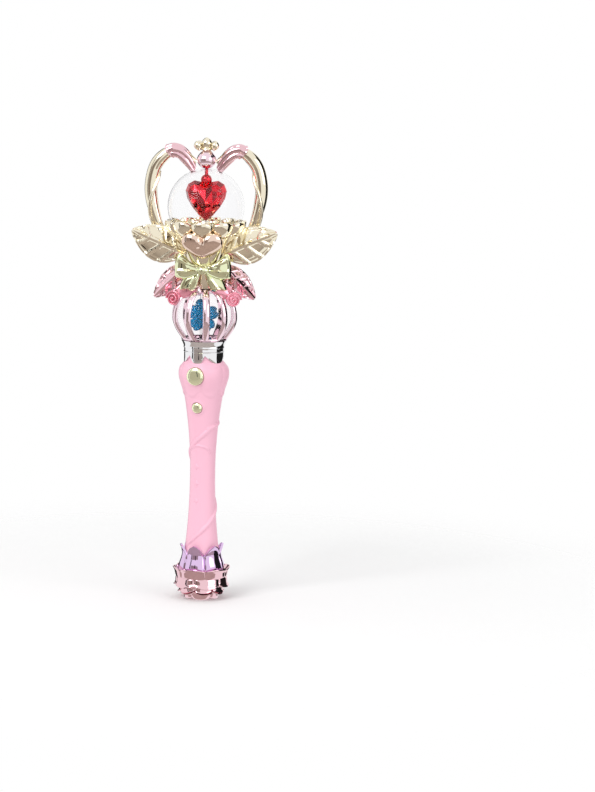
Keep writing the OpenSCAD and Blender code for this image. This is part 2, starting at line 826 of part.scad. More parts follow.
blossom_z = globe_z + 1.4;
blossom_t = 2.6;
peg_r = 2;
blossom_y = -post_out_r - 1.6;
module blossom() {
    color(aqua)
        union() {
            translate([0, blossom_y, blossom_z])
                pillow(blossom_outline(60), [0, 0], blossom_t, 1, 3, 0.7);
            bar_y(peg_r, 0, blossom_z, blossom_y + 0.5, -post_out_r - 0.05);
        }
}

// Hollow post through the globe, which carries the head's wires
cup_floor_z = globe_top_z + 0.05;
cup_floor_t = 3;
module globe_post() {
    bottom = collar_shelf_z + collar_shelf_t - 0.9;
    color(clear_pink)
        translate([0, 0, bottom])
            difference() {
                cylinder(r = post_out_r, h = cup_floor_z + 2 - bottom);
                translate([0, 0, -1])
                    cylinder(r = post_in_r, h = 60);
            }
}

// Lamp with a round nose, standing on a height
module lamp(x, y, z, h) {
    translate([x, y, z]) {
        cylinder(r = led_r, h = h - led_r);
        translate([0, 0, h - led_r])
            sphere(r = led_r);
    }
}

module blossom_led() {
    color("white")
        lamp(0, blossom_led_y, collar_shelf_z - 0.6, 6);
}

// Goblet of the head
cup_curve = 1.35;
function cup_r(z) =
    cup_neck_r + (cup_rim_r - cup_neck_r)
        * pow(max(0, z - cup_floor_z) / (cup_rim_z - cup_floor_z), cup_curve);

cup_steps = 14;
function cup_line(inset, bottom) = [for (i = [0:cup_steps])
    let (z = bottom + (cup_rim_z - bottom) * i / cup_steps)
    [cup_r(z) - inset, z]];

// The goblet as a solid, grown by a gap, for what seats against its outside
module cup_core(gap) {
    rotate_extrude()
        polygon(concat([[0, cup_floor_z]], cup_line(-gap, cup_floor_z), [[0, cup_rim_z]]));
}

// Heights inside the goblet
seat_ledge_z = cup_rim_z - 5;
seat_plate_t = 3;
seat_top_z = seat_ledge_z + seat_plate_t + 0.05;
dome_z = seat_top_z + 13;
hoop_peg_z = cup_rim_z - 7;
hoop_peg_r = 1.3;
cup_screw_z = cup_floor_z + 9;

// Half of the goblet on the +Y side: wall, floor and the ledge that the heart's seat lies on
module cup_half() {
    inside = cup_line(cup_wall, cup_floor_z + cup_floor_t);
    ledge_r = cup_r(seat_ledge_z) - cup_wall;
    difference() {
        rotate_extrude(angle = 180)
            union() {
                polygon(concat([[0, cup_floor_z]], cup_line(0, cup_floor_z),
                    [for (i = [cup_steps:-1:0]) inside[i]], [[0, cup_floor_z + cup_floor_t]]));
                polygon([[ledge_r - 2.4, seat_ledge_z], [ledge_r + 1, seat_ledge_z],
                    [ledge_r - 0.6, seat_ledge_z - 3.4]]);
            }
        for (side = [-1, 1])
            translate([0, 0, hoop_peg_z])
                rotate([0, side * 90, 0])
                    cylinder(r = hoop_peg_r + fit_gap, h = 60);
    }
}

module cup_boss(side) {
    intersection() {
        bar_y(boss_r, 0, cup_screw_z, side * 0.05, side * 30);
        cup_core(-cup_wall / 2);
    }
}

// Socket in the goblet's floor for the post, with a hole for the wires
module post_socket() {
    translate([0, 0, cup_floor_z - 1])
        cylinder(r = post_out_r + fit_gap, h = 3.1);
    translate([0, 0, cup_floor_z - 1])
        cylinder(r = post_in_r, h = 6);
}

module cup_front_shell() {
    color(gold_chrome)
        rotate([0, 0, head_turn])
            difference() {
                union() {
                    rotate([0, 0, 180])
                        cup_half();
                    cup_boss(-1);
                }
                bar_y(screw_r, 0, cup_screw_z, 1, -screw_reach - 0.3);
                post_socket();
            }
}

module cup_back_shell() {
    color(gold_chrome)
        rotate([0, 0, head_turn])
            difference() {
                union() {
                    cup_half();
                    cup_boss(1);
                }
                bar_y(screw_r + 0.15, 0, cup_screw_z, -1, 40);
                bar_y(screw_head_r + 0.3, 0, cup_screw_z, cup_r(cup_screw_z) - counterbore_depth, 40);
                post_socket();
            }
}

// Screw that holds the goblet's halves together
module cup_screw() {
    seat = cup_r(cup_screw_z) - counterbore_depth;
    color(steel)
        rotate([0, 0, head_turn])
            union() {
                bar_y(screw_r - 0.02, 0, cup_screw_z, -screw_reach, seat + 0.5);
                bar_y(screw_head_r, 0, cup_screw_z, seat + 0.02, seat + screw_head_h);
            }
}

// Seat of the heart: a plate on the goblet's ledge with a ring of turrets and a socket in the middle
turret_count = 8;
turret_ring_r = 15.5;
turret_r = 3.4;
turret_h = 5.8;
turret_shares = [[0, 0], [0.94, 0], [1, 0.17], [0.7, 0.28], [0.65, 0.55], [0.88, 0.72], [0.76, 0.9], [0, 1]];
socket_r = 4.6;
socket_h = 3.6;
heart_tip_z = seat_top_z + socket_h - 0.4;
module heart_seat() {
    color(gold_chrome)
        rotate([0, 0, head_turn])
            difference() {
                union() {
                    translate([0, 0, seat_ledge_z + 0.05])
                        cylinder(r1 = cup_r(seat_ledge_z) - cup_wall - 0.2,
                            r2 = cup_r(seat_top_z) - cup_wall - 0.2, h = seat_plate_t);
                    for (i = [0:turret_count - 1])
                        rotate([0, 0, (i + 0.5) * 360 / turret_count])
                            translate([turret_ring_r, 0, seat_top_z - 0.5])
                                rotate_extrude()
                                    polygon([for (p = turret_shares) [turret_r * p[0], turret_h * p[1]]]);
                    translate([0, 0, seat_top_z - 0.5])
                        cylinder(r1 = socket_r + 3, r2 = socket_r + 1, h = socket_h);
                }
                translate([0, 0, seat_ledge_z - 1])
                    cylinder(r = led_r + fit_gap, h = 20);
            }
}

module heart_led() {
    color("white")
        lamp(0, 0, seat_ledge_z - 1.5, 6);
}

// Heart under the dome, in two cut-gem halves, with a hollow on top for the ball
ball_r = 3.8;
heart_cut = 28;
heart_z = heart_tip_z + 0.4983 * heart_h;
ball_z = heart_tip_z + heart_h + 1;
module heart_half() {
    difference() {
        translate([0, -0.03, heart_z])
            pillow(heart_outline(heart_w, heart_h, heart_cut), [0, 0.06 * heart_h], heart_depth, 0, 4, 0.8);
        translate([0, 0, ball_z])
            sphere(r = ball_r + fit_gap);
    }
}

module heart_front() {
    color(ruby)
        rotate([0, 0, head_turn])
            heart_half();
}

module heart_back() {
    color(ruby)
        rotate([0, 0, head_turn])
            mirror([0, 1, 0])
                heart_half();
}

// Ball and pin that hold the heart to the top of the dome
stem_pin_r = 1.2;
dome_top_z = dome_z + dome_r;
bud_z = dome_top_z + 0.2;
pin_in_bud = 2.4;
module heart_stem() {
    color(ruby)
        union() {
            translate([0, 0, ball_z])
                sphere(r = ball_r);
            translate([0, 0, ball_z])
                cylinder(r = stem_pin_r, h = bud_z + pin_in_bud - ball_z);
        }
}

// Clear dome over the heart
module dome() {
    color("white", 0.3)
        difference() {
            translate([0, 0, dome_z])
                sphere(r = dome_r);
            translate([0, 0, dome_z])
                sphere(r = dome_r - dome_wall);
            translate([0, 0, dome_z - dome_r - 1])
                cylinder(r = dome_r + 1, h = seat_top_z + 0.05 - dome_z + dome_r + 1);
            translate([0, 0, dome_z])
                cylinder(r = stem_pin_r + fit_gap, h = dome_r + 1);
        }
}

// Bud over the dome, an egg with its point down
bud_r = 6.3;
bud_h = 11.6;
function bud_line(steps) = [for (i = [0:steps])
    let (t = i / steps)
    [2 + (bud_r - 2) * pow(sin(180 * pow(t, 1.25) * 0.86), 0.85), bud_z + bud_h * t]];
module bud() {
    color(pink_chrome)
        difference() {
            rotate_extrude()
                polygon(concat([[0, bud_z]], bud_line(14), [[0, bud_z + bud_h]]));
            translate([0, 0, bud_z - 1])
                cylinder(r = stem_pin_r + fit_gap, h = pin_in_bud + 1.2);
            translate([0, 0, bud_z + bud_h - 3])
                cylinder(r = crown_pin_r + fit_gap, h = 5);
        }
}

// Crown on the bud: a ring, five lobes that lean out and a taller one in the middle
crown_pin_r = 1.5;
crown_z = bud_z + bud_h + 0.05;
crown_lobes = 5;
lobe_l = 7;
lobe_r = 2.6;
module crown_lobe(l, r) {
    rotate_extrude()
        polygon(concat([for (i = [0:10]) [r * pow(sin(18 * i), 0.7) * (0.7 + 0.3 * i / 10), l * i / 10]]));
}

module crown() {
    color(gold_chrome)
        rotate([0, 0, head_turn])
            union() {
                translate([0, 0, crown_z])
                    rotate_extrude()
                        polygon([[0, 0], [3, 0], [4, 0.7], [3.7, 1.5], [3, 2.2], [0, 2.4]]);
                translate([0, 0, crown_z - 2.6])
                    cylinder(r = crown_pin_r, h = 3);
                translate([0, 0, crown_z + 0.8])
                    crown_lobe(lobe_l + 1.2, lobe_r + 0.8);
                for (i = [0:crown_lobes - 1])
                    rotate([0, 0, front_turn + i * 360 / crown_lobes])
                        translate([2.2, 0, crown_z + 0.6])
                            rotate([0, 34, 0])
                                crown_lobe(lobe_l, lobe_r);
            }
}

// Smooth line through points, with a number of steps between each two
function curve_point(p0, p1, p2, p3, t) =
    0.5 * (2 * p1 + (p2 - p0) * t + (2 * p0 - 5 * p1 + 4 * p2 - p3) * t * t
        + (3 * p1 - p0 - 3 * p2 + p3) * t * t * t);
function smooth_line(points, steps) = concat(
    [for (i = [0:len(points) - 2], k = [0:steps - 1])
        curve_point(points[max(0, i - 1)], points[i], points[i + 1],
            points[min(len(points) - 1, i + 2)], k / steps)],
    [points[len(points) - 1]]);

// Right half of the heart-shaped hoop, from the goblet up and over to the bud; [x, z, thickness as a share]
ribbon_wall = 1.3;
ribbon_gap = 0.45;
hoop_foot_x = cup_rim_r + 2.1;
hoop_end_z = bud_z + 3.4;
hoop_inner_x = bud_r + 0.4 * hoop_d + ribbon_gap + 1.5 * ribbon_wall + 1.8;
hoop_arch = hoop_half_w - hoop_inner_x;
hoop_h = dome_top_z + hoop_over - hoop_peg_z;
hoop_keys = [
    [hoop_foot_x, hoop_peg_z - 1.5, 0.5],
    [hoop_foot_x + 0.43 * (hoop_half_w - hoop_foot_x), hoop_peg_z + 0.13 * hoop_h, 0.68],
    [hoop_foot_x + 0.86 * (hoop_half_w - hoop_foot_x), hoop_peg_z + 0.35 * hoop_h, 0.94],
    [hoop_half_w, hoop_peg_z + 0.57 * hoop_h, 1],
    [hoop_inner_x + 0.86 * hoop_arch, hoop_peg_z + 0.84 * hoop_h, 1],
    [hoop_inner_x + 0.41 * hoop_arch, hoop_peg_z + hoop_h, 0.98],
    [hoop_inner_x, hoop_peg_z + 0.963 * hoop_h, 0.8],
    [bud_r + 0.7, hoop_end_z, 0.5]];
hoop_line = smooth_line(hoop_keys, 3);
hoop_path = [for (p = hoop_line) [p[0], 0, p[1]]];
hoop_radii = [for (p = hoop_line) hoop_d / 2 * p[2]];

// Vine strand that lies on the hoop, crossing it from inside to outside on its way down
strand_r = 1.5;
module hoop_strand() {
    first = 2;
    last = 12;
    tube([for (i = [first:last])
            let (t = (i - first) / (last - first),
                 along = hoop_path[i + 1] - hoop_path[i - 1],
                 out = cross([0, 1, 0], along / norm(along)),
                 a = -10 + 200 * t)
            hoop_path[i] + (hoop_radii[i] + 0.3) * (cos(a) * out - sin(a) * [0, 1, 0])],
        [for (i = [first:last]) strand_r * (i == last ? 0.3 : 1 - 0.35 * (i - first) / (last - first))], 8);
}

module hoop_half() {
    union() {
        tube(hoop_path, hoop_radii, 12);
        translate([cup_r(hoop_peg_z) - cup_wall - 1, 0, hoop_peg_z])
            rotate([0, 90, 0])
                cylinder(r = hoop_peg_r, h = hoop_foot_x - cup_r(hoop_peg_z) + cup_wall + 1.6);
        hoop_strand();
    }
}

module hoop_right() {
    color(gold_chrome)
        rotate([0, 0, head_turn])
            hoop_half();
}

module hoop_left() {
    color(gold_chrome)
        rotate([0, 0, head_turn])
            mirror([1, 0, 0])
                hoop_half();
}

// Ribbon leaf wrapped round the upper end of the hoop, with a slanting outer end
ribbon_slant = 2.4;
module ribbon_wrap() {
    first = 14;
    last = 19;
    sides = 14;
    n = last - first + 1;
    function unit(v) = v / norm(v);
    function ring(i, r) =
        let (t = unit(hoop_path[i + 1] - hoop_path[i - 1]),
             u = unit(cross([0, 1, 0], t)),
             lead = (last - i) / n)
        [for (k = [0:sides - 1])
            let (a = 360 * k / sides)
            hoop_path[i] + r * (cos(a) * u + sin(a) * [0, -1, 0]) - ribbon_slant * lead * cos(a + 40) * t];
    outer = [for (i = [first:last])
        let (swell = 1 + 0.5 * sin(180 * (i - first) / (n - 1)))
        each ring(i, hoop_radii[i] + ribbon_gap + ribbon_wall * swell)];
    inner = [for (i = [first:last]) each ring(i, hoop_radii[i] + ribbon_gap)];
    m = n * sides;
    walls = [for (i = [0:n - 2], k = [0:sides - 1])
        let (a = i * sides + k, b = i * sides + (k + 1) % sides)
        each [[a, b, b + sides], [a, b + sides, a + sides],
            [m + a, m + b + sides, m + b], [m + a, m + a + sides, m + b + sides]]];
    ends = [for (k = [0:sides - 1])
        let (j = (k + 1) % sides, e = (n - 1) * sides)
        each [[k, m + j, j], [k, m + k, m + j], [e + k, e + j, m + e + j], [e + k, m + e + j, m + e + k]]];
    polyhedron(concat(outer, inner), concat(walls, ends), convexity = 8);
}

module ribbon_right() {
    color(pink_chrome)
        rotate([0, 0, head_turn])
            ribbon_wrap();
}

module ribbon_left() {
    color(pink_chrome)
        rotate([0, 0, head_turn])
            mirror([1, 0, 0])
                ribbon_wrap();
}

// Leaf from its stalk to its tip, folded along a raised midrib, with its front towards face
module leaf(stalk, tip, width, face, thickness, fold, curl) {
    length_steps = 10;
    across = [-1, -0.5, 0, 0.5, 1];
    function unit(v) = v / norm(v);
    along = tip - stalk;
    axis = unit(along);
    side = unit(cross(face, axis));
    front = cross(axis, side);
    function half_width(t) = 0.25 + width / 2 * pow(sin(180 * pow(t, 0.85)), 0.75);
    function skin_point(t, v) =
        stalk + along * t + side * half_width(t) * v
            + front * (fold * half_width(t) * (0.5 - abs(v)) + curl * (t * t - 0.6 * t));
    top = [for (i = [0:length_steps], v = across) skin_point(i / length_steps, v)];
    bottom = [for (p = top) p - front * thickness];
    w = len(across);
    m = len(top);
    skins = [for (i = [0:length_steps - 1], k = [0:w - 2])
        let (a = i * w + k, b = a + 1, c = b + w, d = a + w)
        each [[a, b, c], [a, c, d], [m + a, m + c, m + b], [m + a, m + d, m + c]]];
    rims = [for (i = [0:length_steps - 1])
        let (a = i * w, d = a + w, b = a + w - 1, c = b + w)
        each [[a, d, m + d], [a, m + d, m + a], [b, m + c, c], [b, m + b, m + c]]];
    tips = [for (k = [0:w - 2])
        let (e = length_steps * w + k)
        each [[k, m + k + 1, k + 1], [k, m + k, m + k + 1], [e, e + 1, m + e + 1], [e, m + e + 1, m + e]]];
    polyhedron(concat(top, bottom), concat(skins, rims, tips), convexity = 6);
}

// Gold leaf at the side of the goblet
leaf_t = 1.6;
gold_leaf_w = 24;
gold_leaf_rise = 24;
gold_leaf_stalk = [-14, -9, cup_rim_z - 20.6];
module gold_leaf() {
    color(gold_chrome)
        difference() {
            leaf(gold_leaf_stalk,
                gold_leaf_stalk + gold_leaf_l * [-cos(gold_leaf_rise), 0, sin(gold_leaf_rise)],
                gold_leaf_w, [0.1, -1, 0.25], leaf_t, 0.35, -4);
            cup_core(fit_gap);
        }
}

module gold_leaf_left() {
    rotate([0, 0, head_turn])
        gold_leaf();
}

module gold_leaf_right() {
    rotate([0, 0, head_turn])
        mirror([1, 0, 0])
            gold_leaf();
}

// Pink leaf below the gold one, pointing outwards and down
pink_leaf_w = 15;
pink_leaf_drop = 43;
pink_leaf_stalk = [-11.5, -2.2, cup_floor_z + 15];
module pink_leaf() {
    color(pink_chrome)
        difference() {
            leaf(pink_leaf_stalk,
                pink_leaf_stalk + pink_leaf_l * [-cos(pink_leaf_drop), -0.05, -sin(pink_leaf_drop)],
                pink_leaf_w, [-0.15, -1, 0.2], leaf_t, 0.35, -3);
            cup_core(fit_gap);
        }
}

module pink_leaf_left() {
    rotate([0, 0, head_turn])
        pink_leaf();
}

module pink_leaf_right() {
    rotate([0, 0, head_turn])
        mirror([1, 0, 0])
            pink_leaf();
}

// Puffed heart on the front of the goblet
front_heart_w = 28.5;
front_heart_h = 18;
front_heart_z = cup_rim_z - 14.8;
front_heart_depth = 4.5;
module front_heart() {
    lean = atan(cup_r(front_heart_z + 1) - cup_r(front_heart_z));
    color(rosy_chrome)
        rotate([0, 0, head_turn])
            difference() {
                translate([0, -cup_r(front_heart_z) - 0.6, front_heart_z])
                    rotate([lean, 0, 0])
                        pillow(heart_outline(front_heart_w, front_heart_h, 36), [0, 0.06 * front_heart_h],
                            front_heart_depth, 5, 4, 0.8);
                cup_core(fit_gap);
            }
}

// Bow under the heart: two loops, two tails and a knot
bow_z = cup_floor_z + 13;
bow_y = -cup_r(bow_z) - 1.4;
bow_depth = 3.2;
knot_r = 3.6;
function bow_loop(w) = [[1, -2], [0.55 * w, -6.4], [0.9 * w, -5.4], [w, -2], [0.97 * w, 7],
    [0.86 * w, 11.6], [0.72 * w, 11], [0.4 * w, 5], [1, 2.6]];
bow_tail = [[0.5, 0], [4, -8], [8.5, -14.5], [11, -12.6], [15.5, -13.8], [14, -8.6], [9, -3]];
module bow_side() {
    translate([0, bow_y, bow_z]) {
        pillow(bow_loop(bow_w / 2), [0.55 * bow_w / 2, 1], bow_depth, 1.6, 3, 0.8);
        translate([0, 0.6, 0])
            pillow(bow_tail, [8, -8], 0.7 * bow_depth, 1.4, 3, 0.8);
    }
}

module bow() {
    color(lime_chrome)
        rotate([0, 0, head_turn])
            difference() {
                union() {
                    bow_side();
                    mirror([1, 0, 0])
                        bow_side();
                    translate([0, bow_y - bow_depth + 1, bow_z])
                        rotate([-90, 0, 0])
                            cylinder(r1 = knot_r, r2 = knot_r + 1, h = bow_depth + 1.6);
                }
                cup_core(fit_gap);
            }
}

// Rolled rose beside the globe, on a stalk from the goblet's neck
rose_x = 20.2;
rose_y = -8.5;
rose_z = cup_floor_z - 7;
rose_turn = 20;
module rose_side() {
    r = rose_d / 2;
    neck_x = cup_neck_r * cos(rose_turn);
    union() {
        translate([rose_x, rose_y, rose_z])
            rotate([90, 0, rose_turn])
                rotate_extrude()
                    polygon([[0, -2.4], [0.7 * r, -2.2], [r, -0.6], [r, 1.4], [0.86 * r, 2.2],
                        [0.72 * r, 1.8], [0.62 * r, 2.9], [0.46 * r, 2.5], [0.36 * r, 3.5],
                        [0.16 * r, 3.4], [0, 3]]);
        tube([[rose_x - 2, rose_y + 1.6, rose_z + 3], [rose_x - 5, rose_y + 3, rose_z + 6.6],
                [rose_x - 8, rose_y + 4.2, rose_z + 9], [neck_x + 1, rose_y + 5.2, cup_floor_z + 2.6]],
            [1.6, 1.5, 1.4, 1.1], 8);
    }
}

module rose_right() {
    color(rose_pink)
        rotate([0, 0, head_turn])
            difference() {
                rose_side();
                cup_core(fit_gap);
            }
}

module rose_left() {
    color(rose_pink)
        rotate([0, 0, head_turn])
            mirror([1, 0, 0])
                difference() {
                    rose_side();
                    cup_core(fit_gap);
                }
}

// Wires from the board to the lamps under the blossom and under the heart
led_wire_r = 0.4;
heart_wire_route = [[0.6, -1.4, board_top_z + 0.4], [0.9, -1, 168.5], [0.9, 0, 172], [0.7, 0, 174.4],
    [0.7, 0, 180], [0.7, 0, 217.4], [1.6, 0, 218.8], [3.8, 0, 220.6], [4, 0, 226], [2.4, 0, 240],
    [0.8, 0, seat_ledge_z - 3], [0.8, 0, seat_ledge_z - 1.8]];
blossom_wire_route = [[2.6, -1.4, board_top_z + 0.4], [2.6, -1.8, 168.4], [0.8, blossom_led_y + 0.2, 171.4],
    [0.7, blossom_led_y, collar_shelf_z - 0.9]];
module led_wires() {
    color(aqua)
        for (side = [-1, 1], route = [heart_wire_route, blossom_wire_route])
            tube([for (p = route) [side * p[0], p[1], p[2]]], [for (p = route) led_wire_r], 8);
}

pommel_rose();
pommel_tulip();
pommel_plug();
pommel_screw();
handle_front_shell();
handle_back_shell();
handle_screws();
battery_door();
battery_door_screw();
button_cells();
battery_contacts();
battery_spring();
battery_wires();
large_button();
small_button();
large_switch_plunger();
small_switch_plunger();
tactile_switches();
button_board();
board_screws();
sound_chip();
speaker();
led_wires();
collar();
globe_cage();
globe_liner();
globe_post();
blossom();
blossom_led();
cup_front_shell();
cup_back_shell();
cup_screw();
front_heart();
bow();
gold_leaf_left();
gold_leaf_right();
pink_leaf_left();
pink_leaf_right();
rose_left();
rose_right();
heart_seat();
heart_led();
heart_front();
heart_back();
heart_stem();
dome();
hoop_left();
hoop_right();
ribbon_left();
ribbon_right();
bud();
crown();
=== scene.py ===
"""Looks of a toy magic wand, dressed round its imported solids. Lengths inside are millimetres."""
import math

import bmesh
import bpy
from mathutils import Matrix, Vector


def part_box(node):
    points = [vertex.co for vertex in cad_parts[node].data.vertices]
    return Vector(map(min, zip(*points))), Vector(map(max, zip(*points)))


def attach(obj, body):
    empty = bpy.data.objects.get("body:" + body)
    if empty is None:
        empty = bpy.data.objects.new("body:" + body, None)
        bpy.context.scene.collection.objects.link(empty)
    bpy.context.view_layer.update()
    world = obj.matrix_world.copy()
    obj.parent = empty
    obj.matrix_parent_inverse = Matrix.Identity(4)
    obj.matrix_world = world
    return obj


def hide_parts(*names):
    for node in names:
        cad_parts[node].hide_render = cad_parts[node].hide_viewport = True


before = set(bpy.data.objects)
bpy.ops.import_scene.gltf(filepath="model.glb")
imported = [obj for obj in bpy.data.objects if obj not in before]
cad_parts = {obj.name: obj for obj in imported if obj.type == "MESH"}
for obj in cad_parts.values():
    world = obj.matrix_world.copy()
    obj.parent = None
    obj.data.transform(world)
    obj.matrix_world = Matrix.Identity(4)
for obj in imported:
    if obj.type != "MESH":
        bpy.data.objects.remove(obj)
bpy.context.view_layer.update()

bl_info = {
    "name": "Toy magic wand",
    "version": (1, 0, 0),
    "blender": (4, 5, 0),
    "location": "View3D > Sidebar > Wand",
    "description": "Dresses a toy magic wand: plated ornaments, clear dome, satin grip and a white studio",
    "category": "Object",
}

MM = 0.001
BODY = "wand"
# Angle of the front round the wand's axis, and the turn that points a lathe's axis out of the front
FRONT = -math.pi / 2
FACING = Matrix.Rotation(math.pi / 2, 4, "X")
# Least radius of a turned form's tip, and least share of a puffed form's inner ring, so that each has a cap
TIP = 0.02
CORE = 0.004
BOXES = {name: [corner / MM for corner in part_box(name)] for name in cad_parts}


def low(node):
    """Lowest corner of a CAD node, in millimetres."""
    return BOXES[node][0]


def high(node):
    """Highest corner of a CAD node, in millimetres."""
    return BOXES[node][1]


def middle_z(node):
    """Height of a CAD node's middle, in millimetres."""
    return (low(node).z + high(node).z) / 2


# Sizes and colours that can be set in the sidebar


def linear(hex_colour):
    """Turns an sRGB hex value into linear red, green and blue."""
    parts = [int(hex_colour[i:i + 2], 16) / 255 for i in (1, 3, 5)]
    return tuple(c / 12.92 if c <= 0.04045 else ((c + 0.055) / 1.055) ** 2.4 for c in parts)


def length(name, description, millimetres):
    """A length, kept in metres."""
    return bpy.props.FloatProperty(
        name=name, description=description, default=millimetres * MM, unit="LENGTH", precision=4)


def angle_of(name, description, degrees):
    """An angle, kept in radians."""
    return bpy.props.FloatProperty(
        name=name, description=description, default=math.radians(degrees), subtype="ANGLE")


def colour(name, description, hex_colour):
    """A colour, kept as linear red, green and blue."""
    return bpy.props.FloatVectorProperty(
        name=name, description=description, default=linear(hex_colour), subtype="COLOR",
        size=3, min=0, max=1)


class WandSizes(bpy.types.PropertyGroup):
    """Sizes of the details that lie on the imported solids."""
    vine_width: length("Vine width", "Width of the raised vine on the grip", 2.6)
    vine_height: length("Vine height", "How far the vine stands out of the grip", 0.95)
    sepal_height: length("Sepal height", "How far the sepals stand out of the bulge", 0.7)
    rib_width: length("Rib width", "Width of a globe rib at its widest", 4.7)
    petal_sheet: length("Petal sheet", "Thickness of a moulded petal", 1.1)
    leaf_sheet: length("Leaf sheet", "Thickness of a moulded leaf", 1.4)
    strand_width: length("Strand width", "Width of the vine strand on the hoop", 3.2)
    head_turn: angle_of("Head turn", "Turn of the head against the front of the grip", 15)


class WandColours(bpy.types.PropertyGroup):
    """Colours of the finishes."""
    grip: colour("Grip", "Satin plastic of the grip", "#F9BFD3")
    gold: colour("Champagne gold", "Plating of the goblet, hoop, leaves and crown", "#F0E7D0")
    rosy: colour("Rosy gold", "Plating of the front heart", "#EBD2C2")
    pink: colour("Pink plating", "Plating of the ribbons, the pink leaves and the foot", "#EDC6CE")
    blush: colour("Blush plating", "Plating of the globe's cage and the bud", "#F2D8E2")
    lilac: colour("Lilac plating", "Plating of the tulip cup", "#E2C4EA")
    silver: colour("Silver plating", "Plating of the collar", "#EFEFF1")
    lime: colour("Lime gold", "Plating of the bow", "#E9EEC6")
    pale: colour("Pale lime", "Pearl lacquer of the buttons", "#F6FAD2")
    ruby: colour("Ruby lacquer", "Red lacquer over plating on the heart", "#BE1324")
    aqua: colour("Aqua tint", "See-through blossom", "#1C86B8")
    rose: colour("Rose lacquer", "Pearl lacquer of the roses", "#FBA6BA")


class WandStage(bpy.types.PropertyGroup):
    """Camera and studio."""
    azimuth: angle_of("Azimuth", "Turn of the camera round the wand", 19.5)
    elevation: angle_of("Elevation", "Height of the camera above the horizon", 8)
    roll: angle_of("Roll", "Lean of the wand in the frame", 1.0)
    distance: length("Distance", "From the camera to the wand's middle", 2000)
    frame_height: length("Frame height", "Height that the frame takes in at the wand", 539.8)


def size_mm(name):
    """A length from the sidebar, in millimetres."""
    return getattr(bpy.context.scene.wand_sizes, name) / MM


# Mesh helpers, in millimetres. A form is a pair: points and faces


def grid_faces(rows, columns, ring=False):
    """Quads of a grid of points listed row by row; ring joins the last column to the first."""
    faces = []
    for i in range(rows - 1):
        for k in range(columns if ring else columns - 1):
            a = i * columns + k
            b = i * columns + (k + 1) % columns
            faces.append((a, b, b + columns, a + columns))
    return faces


def tube_faces(rows, columns):
    """Faces of a tube made of rings of points, with a cap on each end."""
    last = (rows - 1) * columns
    caps = [tuple(range(columns))[::-1], tuple(range(last, last + columns))]
    return grid_faces(rows, columns, True) + caps


def two_skins(rows, columns, ring=False):
    """Faces of a front grid of points and of a back grid that is listed after it."""
    back = rows * columns
    grid = grid_faces(rows, columns, ring)
    return grid + [tuple(back + j for j in reversed(face)) for face in grid]


def rim_faces(rows, columns):
    """Quads that close the four edges between two skins."""
    back = rows * columns
    edges = [(i * columns + k, (i + 1) * columns + k) for i in range(rows - 1) for k in (0, columns - 1)]
    edges += [(i * columns + k, i * columns + k + 1) for k in range(columns - 1) for i in (0, rows - 1)]
    return [(a, b, back + b, back + a) for a, b in edges]


def shade(work, sharp):
    """Smooth faces, with sharp edges where two faces meet at more than an angle in degrees."""
    for face in work.faces:
        face.smooth = True
    for edge in work.edges:
        if len(edge.link_faces) == 2:
            edge.smooth = edge.calc_face_angle(0) < math.radians(sharp)


def new_mesh(name, form, sharp):
    """A clean mesh of a form, with its faces turned outwards."""
    same_place = 1e-7
    points, faces = form
    mesh = bpy.data.meshes.new(name)
    mesh.from_pydata([Vector(p) * MM for p in points], [], faces)
    work = bmesh.new()
    work.from_mesh(mesh)
    bmesh.ops.remove_doubles(work, verts=work.verts, dist=same_place)
    bmesh.ops.dissolve_degenerate(work, edges=work.edges, dist=same_place)
    bmesh.ops.recalc_face_normals(work, faces=work.faces)
    shade(work, sharp)
    work.to_mesh(mesh)
    work.free()
    return mesh


def add_object(name, data):
    """A new object in the scene."""
    added = bpy.data.objects.new(name, data)
    bpy.context.scene.collection.objects.link(added)
    return added


def dress(name, form, kind, sharp, node, body=BODY):
    """A piece in one finish that replaces a node, whose imported form it hides."""
    mesh = new_mesh(name, form, sharp)
    mesh.materials.append(FINISHES[kind])
    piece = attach(add_object(name, mesh), body)
    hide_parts(node)
    return piece


def cut(piece, sharp, *cutters):
    """Cuts closed forms out of a piece and sets its sharp edges again."""
    for form in cutters:
        tool = add_object("cutter", new_mesh("cutter", form, sharp))
        change = piece.modifiers.new("cut", "BOOLEAN")
        change.operation = "DIFFERENCE"
        change.solver = "EXACT"
        change.object = tool
        bpy.context.view_layer.update()
        done = bpy.data.meshes.new_from_object(piece.evaluated_get(bpy.context.evaluated_depsgraph_get()))
        piece.modifiers.clear()
        spent = (piece.data, tool.data)
        piece.data = done
        bpy.data.objects.remove(tool)
        for mesh in spent:
            bpy.data.meshes.remove(mesh)
    work = bmesh.new()
    work.from_mesh(piece.data)
    shade(work, sharp)
    work.to_mesh(piece.data)
    work.free()


def lathe(profile, segments, warp=None):
    """A closed turned form; warp(angle, radius, height, station) may move a point."""
    points = []
    for i, (radius, z) in enumerate(profile):
        for k in range(segments):
            angle = 2 * math.pi * k / segments
            r, h = warp(angle, radius, z, i) if warp else (radius, z)
            points.append((r * math.cos(angle), r * math.sin(angle), h))
    return points, tube_faces(len(profile), segments)


def ring_lathe(profile, segments, warp=None):
    """A turned form with a hole through it: the profile is a closed loop."""
    points, faces = lathe(profile + profile[:1], segments, warp)
    return points, faces[:-2]


